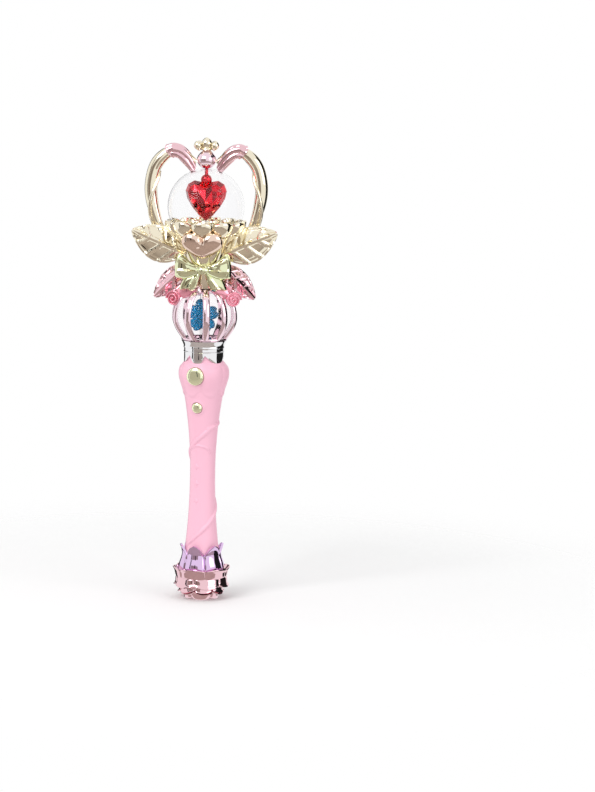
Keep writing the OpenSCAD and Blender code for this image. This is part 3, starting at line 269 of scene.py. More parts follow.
def smooth_path(keys, steps):
    """Points of a smooth curve through keys, with a number of steps between each two."""
    keys = [Vector(k) for k in keys]
    line = []
    for i in range(len(keys) - 1):
        p0, p1 = keys[max(0, i - 1)], keys[i]
        p2, p3 = keys[i + 1], keys[min(len(keys) - 1, i + 2)]
        for k in range(steps):
            t = k / steps
            line.append(0.5 * (2 * p1 + (p2 - p0) * t + (2 * p0 - 5 * p1 + 4 * p2 - p3) * t * t
                               + (3 * p1 - p0 - 3 * p2 + p3) * t ** 3))
    line.append(keys[-1])
    return line


def path_frame(path, i):
    """Direction along a path at one of its points, and the direction to its side that is square to Y."""
    along = (path[min(len(path) - 1, i + 1)] - path[max(0, i - 1)]).normalized()
    return along, Vector((0, 1, 0)).cross(along).normalized()


def sweep(path, radii, sides):
    """A round tube along a path."""
    points = []
    for i, p in enumerate(path):
        along, side = path_frame(path, i)
        other = along.cross(side)
        for k in range(sides):
            angle = 2 * math.pi * k / sides
            points.append(p + radii[i] * (math.cos(angle) * side + math.sin(angle) * other))
    return points, tube_faces(len(path), sides)


def sheet_solid(skin, rows, columns, thickness):
    """Closed solid from a curved sheet skin(u, v), u and v from 0 to 1, thickened behind its front.

    Over an outer band the sheet thins to a rim, so that a petal or a leaf doesn't end in a square cut.
    """
    rim_share, band = 0.45, 0.125
    front = [[Vector(skin(i / (rows - 1), k / (columns - 1))) for k in range(columns)] for i in range(rows)]

    def back(i, k):
        along = front[min(rows - 1, i + 1)][k] - front[max(0, i - 1)][k]
        over = front[i][min(columns - 1, k + 1)] - front[i][max(0, k - 1)]
        normal = over.cross(along)
        normal = normal.normalized() if normal.length > 1e-9 else Vector((0, -1, 0))
        inward = min(min(i, rows - 1 - i) / (rows - 1), min(k, columns - 1 - k) / (columns - 1))
        return front[i][k] - normal * thickness * (rim_share + (1 - rim_share) * min(1, inward / band))

    points = [p for row in front for p in row] + [back(i, k) for i in range(rows) for k in range(columns)]
    return points, two_skins(rows, columns) + rim_faces(rows, columns)


def half_shell(outer, inner, rows, start, end, columns):
    """Closed shell between two angles from the front; outer and inner give (radius, z) at (degrees, row)."""
    points = []
    for skin in (outer, inner):
        for i in range(rows):
            for k in range(columns):
                degrees = start + (end - start) * k / (columns - 1)
                r, z = skin(degrees, i)
                a = math.radians(degrees)
                points.append((r * math.sin(a), -r * math.cos(a), z))
    return points, two_skins(rows, columns) + rim_faces(rows, columns)


def pillow(outline, middle, front, back, rings, relief):
    """Puffed closed form over a flat outline: front and back give its depth, towards -Y and +Y.

    relief(across, up, share) adds to the front, with share 0 in the middle and 1 at the edge.
    """
    count = len(outline)
    points = []
    for depth, sign in ((front, -1), (back, 1)):
        for i in range(rings + 1):
            share = max(CORE, i / rings)
            puff = depth * (1 - share ** 2.6) ** 0.6
            for across, up in outline:
                x = middle[0] + (across - middle[0]) * share
                z = middle[1] + (up - middle[1]) * share
                extra = relief(x, z, share) if sign < 0 and share < 1 else 0
                points.append((x, sign * puff - extra, z))
    half = (rings + 1) * count
    caps = [tuple(range(count)), tuple(range(half, half + count))[::-1]]
    return points, two_skins(rings + 1, count, True) + caps


def bar(radius, start, end, segments):
    """A round bar between two points, for cuts and pins."""
    start, end = Vector(start), Vector(end)
    part = lathe([(radius, 0), (radius, (end - start).length)], segments)
    turn = (end - start).to_track_quat("Z", "Y").to_matrix().to_4x4()
    return placed(part, Matrix.Translation(start) @ turn)


def merge(*forms):
    """Joins several forms into one."""
    points, faces = [], []
    for more_points, more_faces in forms:
        start = len(points)
        points += [Vector(p) for p in more_points]
        faces += [tuple(start + j for j in f) for f in more_faces]
    return points, faces


def placed(form, matrix):
    """A form moved by a matrix."""
    points, faces = form
    return [matrix @ Vector(p) for p in points], faces


def shifted(form, x, y, z):
    """A form moved along the three axes."""
    return placed(form, Matrix.Translation((x, y, z)))


def mirrored(form):
    """The same form on the other side of the wand."""
    points, faces = form
    return [Vector((-p[0], p[1], p[2])) for p in points], [f[::-1] for f in faces]


def turned(form, angle):
    """The same form turned round the wand's axis."""
    return placed(form, Matrix.Rotation(angle, 4, "Z"))


def on_head(form):
    """A form drawn facing the front, turned with the head against the grip."""
    return turned(form, bpy.context.scene.wand_sizes.head_turn)


def eased(t):
    """Smooth step from 0 to 1."""
    t = min(1, max(0, t))
    return t * t * (3 - 2 * t)


def bump(x, width):
    """Bell curve of height 1 round 0."""
    return math.exp(-(x / width) ** 2)


def shares(steps):
    """Even steps from 0 to 1."""
    return [i / steps for i in range(steps + 1)]


def between(z, keys):
    """Straight-line value at z from (z, value) pairs that rise in z."""
    for (z0, v0), (z1, v1) in zip(keys, keys[1:]):
        if z <= z1:
            return v0 + (v1 - v0) * (z - z0) / (z1 - z0)
    return keys[-1][1]


# Finishes

FINISHES = {}
PLATED = {"gold": "champagne gold", "rosy": "rosy gold", "pink": "pink", "blush": "blush", "lilac": "lilac",
          "silver": "silver", "lime": "lime gold"}


def add_node(tree, kind, inputs=None, **fields):
    """Adds one shader node with its fields; an input takes a value or the output that it is joined to."""
    made = tree.nodes.new(kind)
    for key, value in fields.items():
        setattr(made, key, value)
    for key, value in (inputs or {}).items():
        if isinstance(value, bpy.types.NodeSocket):
            tree.links.new(value, made.inputs[key])
        else:
            made.inputs[key].default_value = value
    return made


def finish(name, shader, tint, relief=None, facets=False):
    """A procedural material from Principled values.

    tint: (size mm, colour, amount), a slow drift of the colour to a darker and a lighter tone.
    relief: (size mm, height mm, detail) of a fine unevenness.
    facets: each flat facet takes a tone of its own between the two, painted reflection and painted shade as a
    cut stone shows.
    """
    material = bpy.data.materials.new(name)
    material.use_nodes = True
    tree = material.node_tree
    tree.nodes.clear()
    place = add_node(tree, "ShaderNodeTexCoord").outputs["Object"]
    size, tone, amount = tint
    # With facets, the spread between the dark and the light tone is painted reflection and painted shade,
    # drawn at random for each facet's direction.
    if facets:
        alike = (0.15, 0.15, 0.15)
        normal = add_node(tree, "ShaderNodeNewGeometry").outputs["True Normal"]
        like = add_node(tree, "ShaderNodeVectorMath", {0: normal, 1: alike}, operation="SNAP")
        share = add_node(tree, "ShaderNodeTexWhiteNoise", {"Vector": like.outputs[0]}).outputs["Value"]
    else:
        cloud = {"Vector": place, "Scale": 1 / (size * MM), "Detail": 2.0}
        share = add_node(tree, "ShaderNodeTexNoise", cloud).outputs["Fac"]
    dark, light = [(*[min(1, c * level) for c in tone], 1) for level in (1 - amount, 1 + amount)]
    # The Mix node's colour sockets go by number, since its other sockets have the same names
    mix = add_node(tree, "ShaderNodeMix", {"Factor": share, 6: dark, 7: light}, data_type="RGBA")
    inputs = {**shader, "Base Color": mix.outputs[2]}
    if relief:
        size, height, detail = relief
        grain = {"Vector": place, "Scale": 1 / (size * MM), "Detail": detail}
        grain = add_node(tree, "ShaderNodeTexNoise", grain).outputs["Fac"]
        uneven = {"Height": grain, "Strength": 1.0, "Distance": height * MM}
        inputs["Normal"] = add_node(tree, "ShaderNodeBump", uneven).outputs["Normal"]
    surface = add_node(tree, "ShaderNodeBsdfPrincipled", inputs)
    add_node(tree, "ShaderNodeOutputMaterial", {"Surface": surface.outputs["BSDF"]})
    return material


def plating(name, tone):
    """Vacuum plating on moulded plastic: mirror bright, with the slow waviness of the moulding under it."""
    return finish(name, {"Metallic": 1.0, "Roughness": 0.07}, (18, tone, 0.04), (7, 0.05, 1.0))


def lacquer(name, metallic, roughness, coat, tint, relief, facets=False):
    """Coloured lacquer over a metallic ground: a deep gleam under a clear glossy coat."""
    shader = {"Metallic": metallic, "Roughness": roughness, "Coat Weight": coat, "Coat Roughness": 0.03}
    return finish(name, shader, tint, relief, facets)


def clear_plastic(name, tone, roughness=0.03, through=1.0, ior=1.49):
    """Clear moulded plastic: lets the inside show, and catches light along its edges."""
    return finish(name, {"Transmission Weight": through, "Roughness": roughness, "IOR": ior},
                  (25, tone, 0.02), (14, 0.02, 0.0))


def moulded(name, tone, roughness, grain):
    """Solid-coloured plastic whose mould grain, drawn coarser than life to show, softens its highlights."""
    return finish(name, {"Roughness": roughness}, (30, tone, 0.015), (grain, 0.012, 2.0))


def metal(name, tone, roughness, grain):
    """Plated metal whose fine marks, drawn coarser than life to show, break up its reflections."""
    return finish(name, {"Metallic": 1.0, "Roughness": roughness}, (4, tone, 0.08), (grain, 0.01, 3.0))


def make_finishes():
    """Makes every finish once, named for its material."""
    tones = bpy.context.scene.wand_colours
    for kind, words in PLATED.items():
        FINISHES[kind] = plating("Plated ABS, " + words, getattr(tones, kind))
    FINISHES.update(
        grip=moulded("Satin ABS, pink", tones.grip, 0.42, 0.5),
        pale=lacquer("Pearl-lacquered ABS, pale lime", 0.82, 0.07, 0.5,
                     (18, tones.pale, 0.03), (7, 0.03, 1.0)),
        # The ruby's wide spread of tone over its facets is painted reflection and painted shade, not a colour
        # of the lacquer.
        ruby=lacquer("Plated ABS, ruby lacquer", 1.0, 0.08, 0.6,
                     (12, tones.ruby, 0.75), (8, 0.04, 1.0), facets=True),
        rose=lacquer("Pearl-lacquered PVC, rose", 0.6, 0.08, 1.0,
                     (12, tones.rose, 0.06), (8, 0.03, 1.0)),
        aqua=clear_plastic("Tinted polystyrene, aqua", tones.aqua, 0.05, 0.3, 1.5),
        # A low IOR keeps the reflections of these two thin shells faint
        dome=clear_plastic("Clear polystyrene", linear("#FDFDFE"), ior=1.16),
        liner=clear_plastic("Clear polystyrene, faint pink", linear("#FFFCFD"), ior=1.16),
        lamp=clear_plastic("Clear epoxy lamp", linear("#FDF9F7"), 0.05),
        steel=metal("Zinc-plated steel", linear("#C9CBCE"), 0.28, 0.6),
        cell=metal("Nickel-plated steel", linear("#D5D3CC"), 0.22, 0.5),
        board=moulded("Glass-epoxy board, green", linear("#1F6B43"), 0.35, 0.3),
        black=moulded("ABS, black", linear("#1B1B1D"), 0.4, 0.4),
        red_wire=moulded("PVC wire, red", linear("#B3242B"), 0.38, 0.3),
        blue_wire=moulded("PVC wire, blue", linear("#2B4FA0"), 0.38, 0.3),
    )


# Grip: a turned handle with a vine, sepals and button rims raised on it

FOOT_Z = 33
WAIST_Z = 89
SHOULDER_Z = 147.3
BULGE_Z = 155.5
SHELF_Z = 163
SPIGOT_R = 10.2
WAIST_R = 8.6
FOOT_FLARE = 3.2
SHOULDER_R = 14.3
BULGE_SWELL = 2.3
NECK_R = 12.6

# The vine's points are (height, degrees from the front), the tendril's (across, height) on the unrolled skin
VINE = [(35, -416), (41.9, -375.5), (63.2, -250.5), (100.9, -70.5), (106.2, -31.5), (118.6, 50), (121.4, 100),
        (124.5, 140)]
TENDRIL = [(-5, 104.6), (-1.5, 106.4), (1, 106.6), (4.5, 105.8), (7, 104), (8.7, 101.6)]
MARK_Z = (92, 80.3, 68.5)
SCREW_Z = (48, 78, 125.4)
GRILLE_Z = 153

# Radius of a button's cap, radius of its hole, and radius of the shell's inside round it
BUTTONS = {"large_button": (6, 6.25, 12.1), "small_button": (3.65, 3.9, 9)}


def bulge_swell(z):
    """Swell of the bulge over the taper of the grip."""
    return BULGE_SWELL * math.cos(math.pi / 2 * min(1, abs(z - BULGE_Z) / 12)) ** 2


def grip_radius(z):
    """Outer radius of the plain grip at a height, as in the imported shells."""
    if z < FOOT_Z:
        return SPIGOT_R
    if z <= WAIST_Z:
        return WAIST_R + FOOT_FLARE * ((WAIST_Z - z) / (WAIST_Z - FOOT_Z)) ** 2.2
    if z <= BULGE_Z:
        taper = min(1, (z - WAIST_Z) / (SHOULDER_Z - WAIST_Z)) ** 1.9
        return WAIST_R + (SHOULDER_R - WAIST_R) * taper + bulge_swell(z)
    return max(NECK_R, SHOULDER_R + BULGE_SWELL - 0.0237 * (z - BULGE_Z) ** 2.31)


def segment_distance(s, z, line):
    """Distance of a point of the unrolled skin from a line of points."""
    best = math.inf
    for (s0, z0), (s1, z1) in zip(line, line[1:]):
        ds, dz = s1 - s0, z1 - z0
        t = min(1, max(0, ((s - s0) * ds + (z - z0) * dz) / (ds * ds + dz * dz)))
        best = min(best, math.hypot(s - s0 - t * ds, z - z0 - t * dz))
    return best


def vine_relief(degrees, z, r):
    """Round vine that winds up the grip and fades out at both ends."""
    start_z, end_z = VINE[0][0], VINE[-1][0]
    if not start_z < z < end_z:
        return 0
    off = (degrees - between(z, VINE) + 180) % 360 - 180
    rise = (between(z + 0.5, VINE) - between(z - 0.5, VINE)) * math.radians(r)
    near = abs(math.radians(off) * r) / math.hypot(1, rise) / (size_mm("vine_width") / 2)
    fade = eased((z - start_z) / 5) * eased((end_z - z) / 4)
    return size_mm("vine_height") * fade * math.sqrt(max(0, 1 - near * near))


def bulge_relief(degrees, z):
    """Soft sepals that swell the bulge, end in scallops below it and keep clear of the small button."""
    clear_z, clear_r, skin_r = 133, 5, 13
    lobe = abs(math.sin(math.radians(degrees * 3 - 36)))
    edge_z = SHOULDER_Z - 2.5 - 5.5 * lobe ** 0.8
    over = eased((z - edge_z) / 2.2) * eased((SHELF_Z - 0.4 - z) / 3)
    crease = bump(lobe, 0.16) * eased((z - edge_z) / 5)
    away = math.hypot(math.radians(degrees) * skin_r, z - clear_z)
    return size_mm("sepal_height") * over * (0.35 + 0.65 * lobe - 0.35 * crease) * eased((away - clear_r) / 3)


def grip_relief(degrees, z):
    """How far the skin stands out at an angle from the front (to the viewer's right) and a height."""
    tendril_half, tendril_height = 1.1, 0.75
    mark_left, mark_half, mark_tall, mark_height = 1.1, 1.7, 2.6, 0.65
    rim_r, rim_slope, rim_height = 5.9, 1.6, 0.55
    r = grip_radius(z)
    s = r * math.radians(degrees)
    reliefs = [vine_relief(degrees, z, r)]
    reliefs.append(tendril_height * (1 - eased(segment_distance(s, z, TENDRIL) / tendril_half)))
    for mark_z in MARK_Z:
        near = abs(s + mark_left) / mark_half + abs(z - mark_z) / mark_tall
        reliefs.append(mark_height * eased(1.9 * (1 - near)))
    away = math.hypot(s, z - middle_z("small_button"))
    reliefs.append(rim_height * eased((rim_r - away) / rim_slope))
    return max(reliefs) + bulge_relief(degrees, z)


def grip_shell(start):
    """Half of the grip from an angle in degrees from the front, with the relief on its outside."""
    wall, step, columns = 1.9, 0.55, 111
    heights = [low("handle_front_shell").z, FOOT_Z, FOOT_Z + 0.02]
    heights += [FOOT_Z + step * (i + 1) for i in range(int((SHELF_Z + 3 - FOOT_Z) / step))]
    heights.append(high("handle_front_shell").z)

    def outer(degrees, i):
        z = heights[i]
        return grip_radius(z) + (grip_relief(degrees, z) if FOOT_Z < z < SHELF_Z else 0), z

    def inner(degrees, i):
        return grip_radius(heights[i]) - wall, heights[i]

    return half_shell(outer, inner, len(heights), start, start + 180, columns)


def grille_holes():
    """Places of the sound holes: one in the middle and two rings round it."""
    pitch = 2.5
    places = [(0, GRILLE_Z)]
    for ring in (1, 2):
        for i in range(6 * ring):
            a = 2 * math.pi * i / (6 * ring)
            places.append((pitch * ring * math.cos(a), GRILLE_Z + pitch * ring * math.sin(a)))
    return places


class WAND_OT_grip(bpy.types.Operator):
    """Builds the two halves of the satin grip, with vine, sepals and openings"""
    bl_idname = "wand.grip"
    bl_label = "Grip halves"

    def execute(self, context):
        sharp = 50
        inside, outside, sound_y = 3, 30, 8
        screw_r, sound_r, gap = 2.4, 0.9, 0.2
        front = dress("grip_front", grip_shell(-90), "grip", sharp, "handle_front_shell")
        holes = [(hole, middle_z(button)) for button, (_, hole, _) in BUTTONS.items()]
        cut(front, sharp, *[bar(hole, (0, -outside, z), (0, -inside, z), 40) for hole, z in holes])
        back = dress("grip_back", grip_shell(90), "grip", sharp, "handle_back_shell")
        door_low, door_high = low("battery_door"), high("battery_door")
        corners = [(x, y, z) for y in (inside, outside) for z in (door_low.z - gap, door_high.z + gap)
                   for x in (door_low.x - gap, door_high.x + gap)]
        sides = [(0, 1, 3, 2), (4, 6, 7, 5), (0, 4, 5, 1), (2, 3, 7, 6), (0, 2, 6, 4), (1, 5, 7, 3)]
        screws = merge(*[bar(screw_r, (0, inside, z), (0, outside, z), 24) for z in SCREW_Z])
        grille = merge(*[bar(sound_r, (x, sound_y, z), (x, outside, z), 12) for x, z in grille_holes()])
        cut(back, sharp, (corners, sides), screws, grille)
        return {"FINISHED"}


class WAND_OT_buttons(bpy.types.Operator):
    """Builds the two pearl-lacquered push buttons, each a shallow dome on a flange"""
    bl_idname = "wand.buttons"
    bl_label = "Push buttons"

    def execute(self, context):
        peg_r, flange_h, clearance, proud, steps = 1.6, 1.2, 0.15, 1.6, 14
        for button, (radius, _, inside) in BUTTONS.items():
            bottom, top = low(button), high(button)
            flange_r = (top.z - bottom.z) / 2
            depth = top.y - bottom.y
            seat = top.y + inside - clearance
            profile = [(peg_r, 0), (peg_r, seat - flange_h - 0.05), (flange_r, seat - flange_h),
                       (flange_r, seat), (radius, seat), (radius, depth - proud)]
            for i in range(1, steps):
                a = math.pi / 2 * i / steps
                profile.append((radius * math.cos(a) ** 0.8, depth - proud + proud * math.sin(a)))
            profile.append((TIP, depth))
            form = shifted(placed(lathe(profile, 72), FACING), 0, top.y, middle_z(button))
            dress(button + "_cap", form, "pale", 50, button, button)
        return {"FINISHED"}


# Collar, globe and blossom

# Each tongue of the collar: its middle and its half width in degrees, and how pointed it is
TONGUES = ((0, 23, 3), (66, 43, 1.8), (144.5, 35.5, 1.8), (215.5, 35.5, 1.8), (294, 43, 1.8))


def collar_edge(degrees):
    """Share of a notch's height at an angle from the front: 0 in a tongue's middle, 1 in a notch."""
    share = 1.0
    for middle, half, power in TONGUES:
        off = abs((degrees - middle + 180) % 360 - 180)
        if off <= half:
            share = min(share, (off / half) ** power)
    return share


class WAND_OT_collar(bpy.types.Operator):
    """Builds the silver collar with its pointed notches and ring lines"""
    bl_idname = "wand.collar"
    bl_label = "Collar"

    def execute(self, context):
        bottom, top = low("collar").z, high("collar").z
        step_z, line_z, notch_h = 173.6, 170.5, 5.8
        wall_r, line_r, bore_r = 13.7, 14.0, 12.7
        outer = [(13.55, bottom), (13.75, bottom + 0.5), (wall_r, bottom + 3), (wall_r, line_z),
                 (line_r, line_z + 0.25), (line_r, line_z + 0.6), (wall_r, line_z + 0.85),
                 (wall_r, step_z - 0.8), (13.75, step_z - 0.3), (14.1, step_z - 0.1), (14.2, step_z + 0.4),
                 (line_r, step_z + 0.8), (line_r, step_z + 1.2), (14.35, step_z + 2), (15.0, top - 1.3),
                 (15.5, top - 0.5), (15.6, top - 0.2), (15.4, top)]
        inner = [(14.3, top), (13.4, top - 1.2), (12.75, step_z + 0.4), (bore_r, step_z - 1),
                 (bore_r, bottom)]

        def warp(angle, r, z, i):
            notch = collar_edge(math.degrees(angle) + 90)
            return r, z + notch_h * notch * max(0, (line_z - z) / (line_z - bottom))

        shelf = [(12.8, 174.1), (12.8, 176.1), (5, 176.1), (5, 174.1)]
        form = merge(ring_lathe(outer + inner, 288, warp), ring_lathe(shelf, 48))
        dress("collar_ring", form, "silver", 45, "collar")
        return {"FINISHED"}


def globe_point(share, inset):
    """Radius and height of the globe's skin: share 0 at its foot, 0.5 at its widest, 1 at its top."""
    foot_z, wide_z, top_z = 178.55, 194, 214
    foot_r, wide_r, top_r = 15, 22.8, 5.6
    if share < 0.5:
        t = share * 2
        return foot_r - inset + (wide_r - foot_r) * math.sin(t * math.pi / 2), foot_z + (wide_z - foot_z) * t
    t = share * 2 - 1
    fall = max(0, math.cos(t * math.pi / 2)) ** 0.85
    rise = math.sin(t * math.pi / 2)
    return top_r + (wide_r - inset - top_r) * fall, wide_z + (top_z - inset - wide_z) * rise


def globe_rib():
    """One rounded rib at the front of the globe."""
    steps, sides, depth = 36, 12, 1.7
    points = []
    for i in range(steps + 1):
        share = i / steps
        r, z = globe_point(share, 0)
        r2, z2 = globe_point(min(1, share + 0.01), 0)
        r1, z1 = globe_point(max(0, share - 0.01), 0)
        along = Vector((r2 - r1, z2 - z1)).normalized()
        half = min(size_mm("rib_width") / 2, r * 0.24)
        for k in range(sides + 1):
            a = math.pi * (k / sides - 0.5)
            inward = depth * (1 - max(0, math.cos(a)) ** 0.8)
            points.append((half * math.sin(a), -(r - inward * along.y), z + inward * along.x))
    return points, tube_faces(steps + 1, sides + 1)


class WAND_OT_globe(bpy.types.Operator):
    """Builds the globe: a plated cage of rounded ribs over a clear liner"""
    bl_idname = "wand.globe"
    bl_label = "Globe cage and liner"

    def execute(self, context):
        ribs, first = 10, math.radians(6.5)
        foot_z, top_z = low("globe_cage").z, high("globe_cage").z
        parts = [turned(globe_rib(), 2 * math.pi * (i + 0.5) / ribs + first) for i in range(ribs)]
        foot = [(13.2, foot_z), (15.1, foot_z), (15.75, foot_z + 0.7), (15.6, foot_z + 1.5),
                (14.4, foot_z + 1.7), (13.4, foot_z + 1.2)]
        cap = [(4.2, top_z - 2.6), (8.6, top_z - 2.3), (9.2, top_z - 1.4), (8.2, top_z - 0.4), (6.4, top_z),
               (4.2, top_z)]
        parts += [ring_lathe(foot, 96), ring_lathe(cap, 96)]
        bead = [(0.01, 0), (1.3, 0.5), (1.9, 2), (1.95, 3.4), (1.3, 5.2), (1.0, 5.6), (1.35, 6.2), (0.9, 7.0),
                (0.01, 7.3)]
        bead_y, bead_z = -11.2, 209.3
        parts.append(shifted(lathe(bead, 28), 0, bead_y, bead_z))
        dress("globe_ribs", merge(*parts), "blush", 50, "globe_cage")
        outside, inside = 2.05, 3.05
        skin = [globe_point(t, outside) for t in shares(40)]
        skin += [globe_point(1 - t, inside) for t in shares(40)]
        liner = dress("globe_lining", ring_lathe(skin, 96), "liner", 60, "globe_liner")
        liner.visible_shadow = False
        return {"FINISHED"}


def blossom_front(angle, share):
    """Radius and relief of the blossom at an angle from upright and a share of the way out."""
    radius, petals = 11.7, 5
    petal = (angle / (2 * math.pi / petals) + 0.5) % 1 * 2 - 1
    reach = 0.52 + 0.48 * math.cos(petal * math.pi / 2) ** 0.5 - 0.13 * bump(petal, 0.16)
    vein = bump(petal, 0.09) * (0.3 + 0.7 * share) + bump(abs(petal) - 0.42, 0.08) * share
    vein *= math.sin(min(1, share * 1.1) * math.pi) ** 0.5
    rim = bump(share - 0.94, 0.06)
    cup = math.sin(share * math.pi) ** 0.7 * (1 - abs(petal)) ** 0.4
    return radius * reach * share, 0.9 * cup + 0.6 * rim + 0.8 * vein


class WAND_OT_blossom(bpy.types.Operator):
    """Builds the see-through blossom inside the globe, with petals, veins and an eye"""
    bl_idname = "wand.blossom"
    bl_label = "Blossom"

    def execute(self, context):
        rings, spokes, centre_z = 26, 150, 195.4
        face_y, back_y = low("blossom").y + 1.2, high("blossom").y
        points = []
        for back in (False, True):
            for i in range(rings):
                share = max(CORE, i / (rings - 1))
                for k in range(spokes):
                    a = 2 * math.pi * k / spokes
                    r, relief = blossom_front(a, share)
                    y = back_y if back else face_y - relief
                    points.append((r * math.sin(a), y, centre_z + r * math.cos(a)))
        half, edge = rings * spokes, (rings - 1) * spokes
        faces = two_skins(rings, spokes, True)
        for k in range(spokes):
            a, b = edge + k, edge + (k + 1) % spokes
            faces.append((a, b, half + b, half + a))
        faces += [tuple(range(spokes)), tuple(range(half, half + spokes))[::-1]]
        eye = placed(lathe([(2.6, 0), (2.4, 0.7), (1.6, 1.1), (TIP, 1.25)], 40), FACING)
        form = merge((points, faces), shifted(eye, 0, face_y, centre_z))
        dress("blossom_relief", form, "aqua", 50, "blossom")
        return {"FINISHED"}


# Goblet, front heart, leaves, bow and roses


def cup_radius(z):
    """Outer radius of the plain goblet at a height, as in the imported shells."""
    foot_z, rim_z, foot_r, flare = 214.05, 258, 9, 17.5
    return foot_r + flare * (max(0, z - foot_z) / (rim_z - foot_z)) ** 1.35


def cup_shell(start):
    """Half of the goblet from an angle in degrees from the front, with folds and a lobed rolled rim."""
    bottom, rim = low("cup_front_shell").z, high("cup_front_shell").z
    wall, rows, columns, lobes = 1.8, 84, 161, 10

    def outer(degrees, i):
        z = bottom + (rim - bottom) * (i / (rows - 1))
        wave = abs(math.cos(math.radians(degrees) * lobes / 2))
        fold = 1.6 * eased((z - bottom - 6) / 26) * (wave ** 0.7 - 0.8)
        roll = max(0, 1 - ((z - rim + 3.2 + 1.2 * wave) / (3.0 + 1.6 * wave)) ** 2) ** 0.5
        lift = (2.6 * wave ** 0.6 - 0.8) * eased((z - rim + 6) / 6)
        return cup_radius(z) + fold + (3.0 * wave ** 0.5 - 0.3) * roll, z + lift

    def inner(degrees, i):
        r, z = outer(degrees, i)
        return max(1, r - wall - 0.5 * eased((z - rim + 6) / 6)), z

    return half_shell(outer, inner, rows, start, start + 180, columns)


def heart_line(width, height, count):
    """Closed outline of a heart round its middle, as (across, up) points."""
    half, lobe = width / 2, 0.35 * height
    quarter = count // 4
    side = []
    for i in range(quarter):
        s = 1 - i / quarter
        side.append((half * (1 - s ** 1.9) ** 0.8, -(height - lobe) * s))
    for i in range(quarter + 1):
        a = math.pi * i / quarter
        side.append((half * max(0, math.cos(a / 2)) ** 1.2, lobe * math.sin(0.8 * a)))
    lift = 0.5 * height - lobe
    right = [(x, up + lift) for x, up in side]
    return right + [(-x, up) for x, up in reversed(right[1:-1])]


def heart_cleft(x, z, share):
    """Soft cleft between the lobes of the front heart, and a shallow hollow below it."""
    cleft = 1.3 * bump(x, 1.5) * eased((z + 1) / 6)
    hollow = 1.1 * bump(x + 1.5, 3) * bump(z + 0.5, 2.4)
    return -(cleft + hollow) * eased((1 - share) / 0.12)


class WAND_OT_goblet(bpy.types.Operator):
    """Builds the goblet's two halves and the puffed heart on its front"""
    bl_idname = "wand.goblet"
    bl_label = "Goblet and front heart"

    def execute(self, context):
        for side, start in (("front", -90), ("back", 90)):
            dress(f"goblet_{side}", on_head(cup_shell(start)), "gold", 50, f"cup_{side}_shell")
        width, height, front, back = 28.5, 19.4, 5.2, 3
        form = pillow(heart_line(width, height, 120), (0, 1.1), front, back, 30, heart_cleft)
        z = middle_z("front_heart")
        lean = math.atan(cup_radius(z + 1) - cup_radius(z))
        place = Matrix.Translation((0, -cup_radius(z) - 1.0, z + 0.5)) @ Matrix.Rotation(lean, 4, "X")
        dress("front_heart_puff", on_head(placed(form, place)), "rosy", 60, "front_heart")
        return {"FINISHED"}


def leaf(stalk, reach, width, face, fold, curl, vein_height):
    """Moulded leaf with a raised midrib, slanting side veins and facets between them.

    It runs from stalk along reach and looks towards face; fold bends it across, and curl along its length.
    """
    veins, vein_half, midrib_half = 3, 1.7, 1.0
    stalk, reach = Vector(stalk), Vector(reach)
    axis = reach.normalized()
    side = Vector(face).cross(axis).normalized()
    front = axis.cross(side)

    def skin(t, v):
        v = v * 2 - 1
        half = 0.25 + width / 2 * max(0, math.sin(math.pi * t ** 0.85)) ** 0.75
        ridge = max(0, 1 - abs(v) * half / midrib_half)
        for i in range(veins):
            root = (i + 0.6) / (veins + 0.9)
            away = abs(t - root - 0.2 * abs(v)) * reach.length
            ridge = max(ridge, (1 - away / vein_half) * (1 - 0.35 * abs(v)))
        border = 0.35 * bump(abs(v) - 0.93, 0.06)
        sag = 0.9 * math.sin(abs(v) * math.pi) * min(1, half / 5)
        bend = fold * half * (0.5 - abs(v)) + curl * (t * t - 0.6 * t)
        return stalk + reach * t + side * half * v + front * (bend + vein_height * ridge + border - sag)

    return sheet_solid(skin, 72, 49, size_mm("leaf_sheet"))


class WAND_OT_leaves(bpy.types.Operator):
    """Builds the gold and the pink leaves on both sides of the goblet"""
    bl_idname = "wand.leaves"
    bl_label = "Leaves"

    def execute(self, context):
        gold_long, gold_wide, rise = 38, 24, math.radians(24)
        pink_long, pink_wide, drop = 31, 15, math.radians(43)
        gold_reach = gold_long * Vector((-math.cos(rise), 0, math.sin(rise)))
        pink_reach = pink_long * Vector((-math.cos(drop), -0.05, -math.sin(drop)))
        gold = leaf((-14, -9, 237.4), gold_reach, gold_wide, (0.1, -1, 0.2), 0.45, -4, 1.3)
        pink = leaf((-11.5, -2.2, 229.05), pink_reach, pink_wide, (-0.15, -1, 0.2), 0.4, -3, 0.9)
        for kind, left in (("gold", gold), ("pink", pink)):
            for side, form in (("left", left), ("right", mirrored(left))):
                node = f"{kind}_leaf_{side}"
                dress(node + "_veined", on_head(form), kind, 24, node)
        return {"FINISHED"}


def closed_path(keys, steps):
    """Closed smooth outline through (across, up) keys."""
    points = [Vector((a, b, 0)) for a, b in keys]
    line = smooth_path(points[-2:] + points + points[:3], steps)
    return [(p.x, p.y) for p in line[2 * steps:(2 + len(points)) * steps]]


def bow_creases(x, z, share):
    """Raised border of a loop, and creases that run out from the knot."""
    border = 0.75 * bump(share - 0.84, 0.09)
    spread = math.atan2(z, max(0.5, x))
    fan = 0.9 * max(0, 1 - abs(spread + 0.02) / 0.09) + 0.6 * max(0, 1 - abs(spread - 0.42) / 0.1)
    return (border + fan * eased((x - 2) / 5) - 0.5) * eased((1 - share) / 0.14)


def tail_creases(x, z, share):
    """Raised border of a tail, and one fold along it."""
    border = 0.4 * bump(share - 0.84, 0.08)
    fold = 0.9 * max(0, 1 - abs(x + 0.75 * z - 1.2) / 1.6)
    return (fold + border) * eased((1 - share) / 0.14)


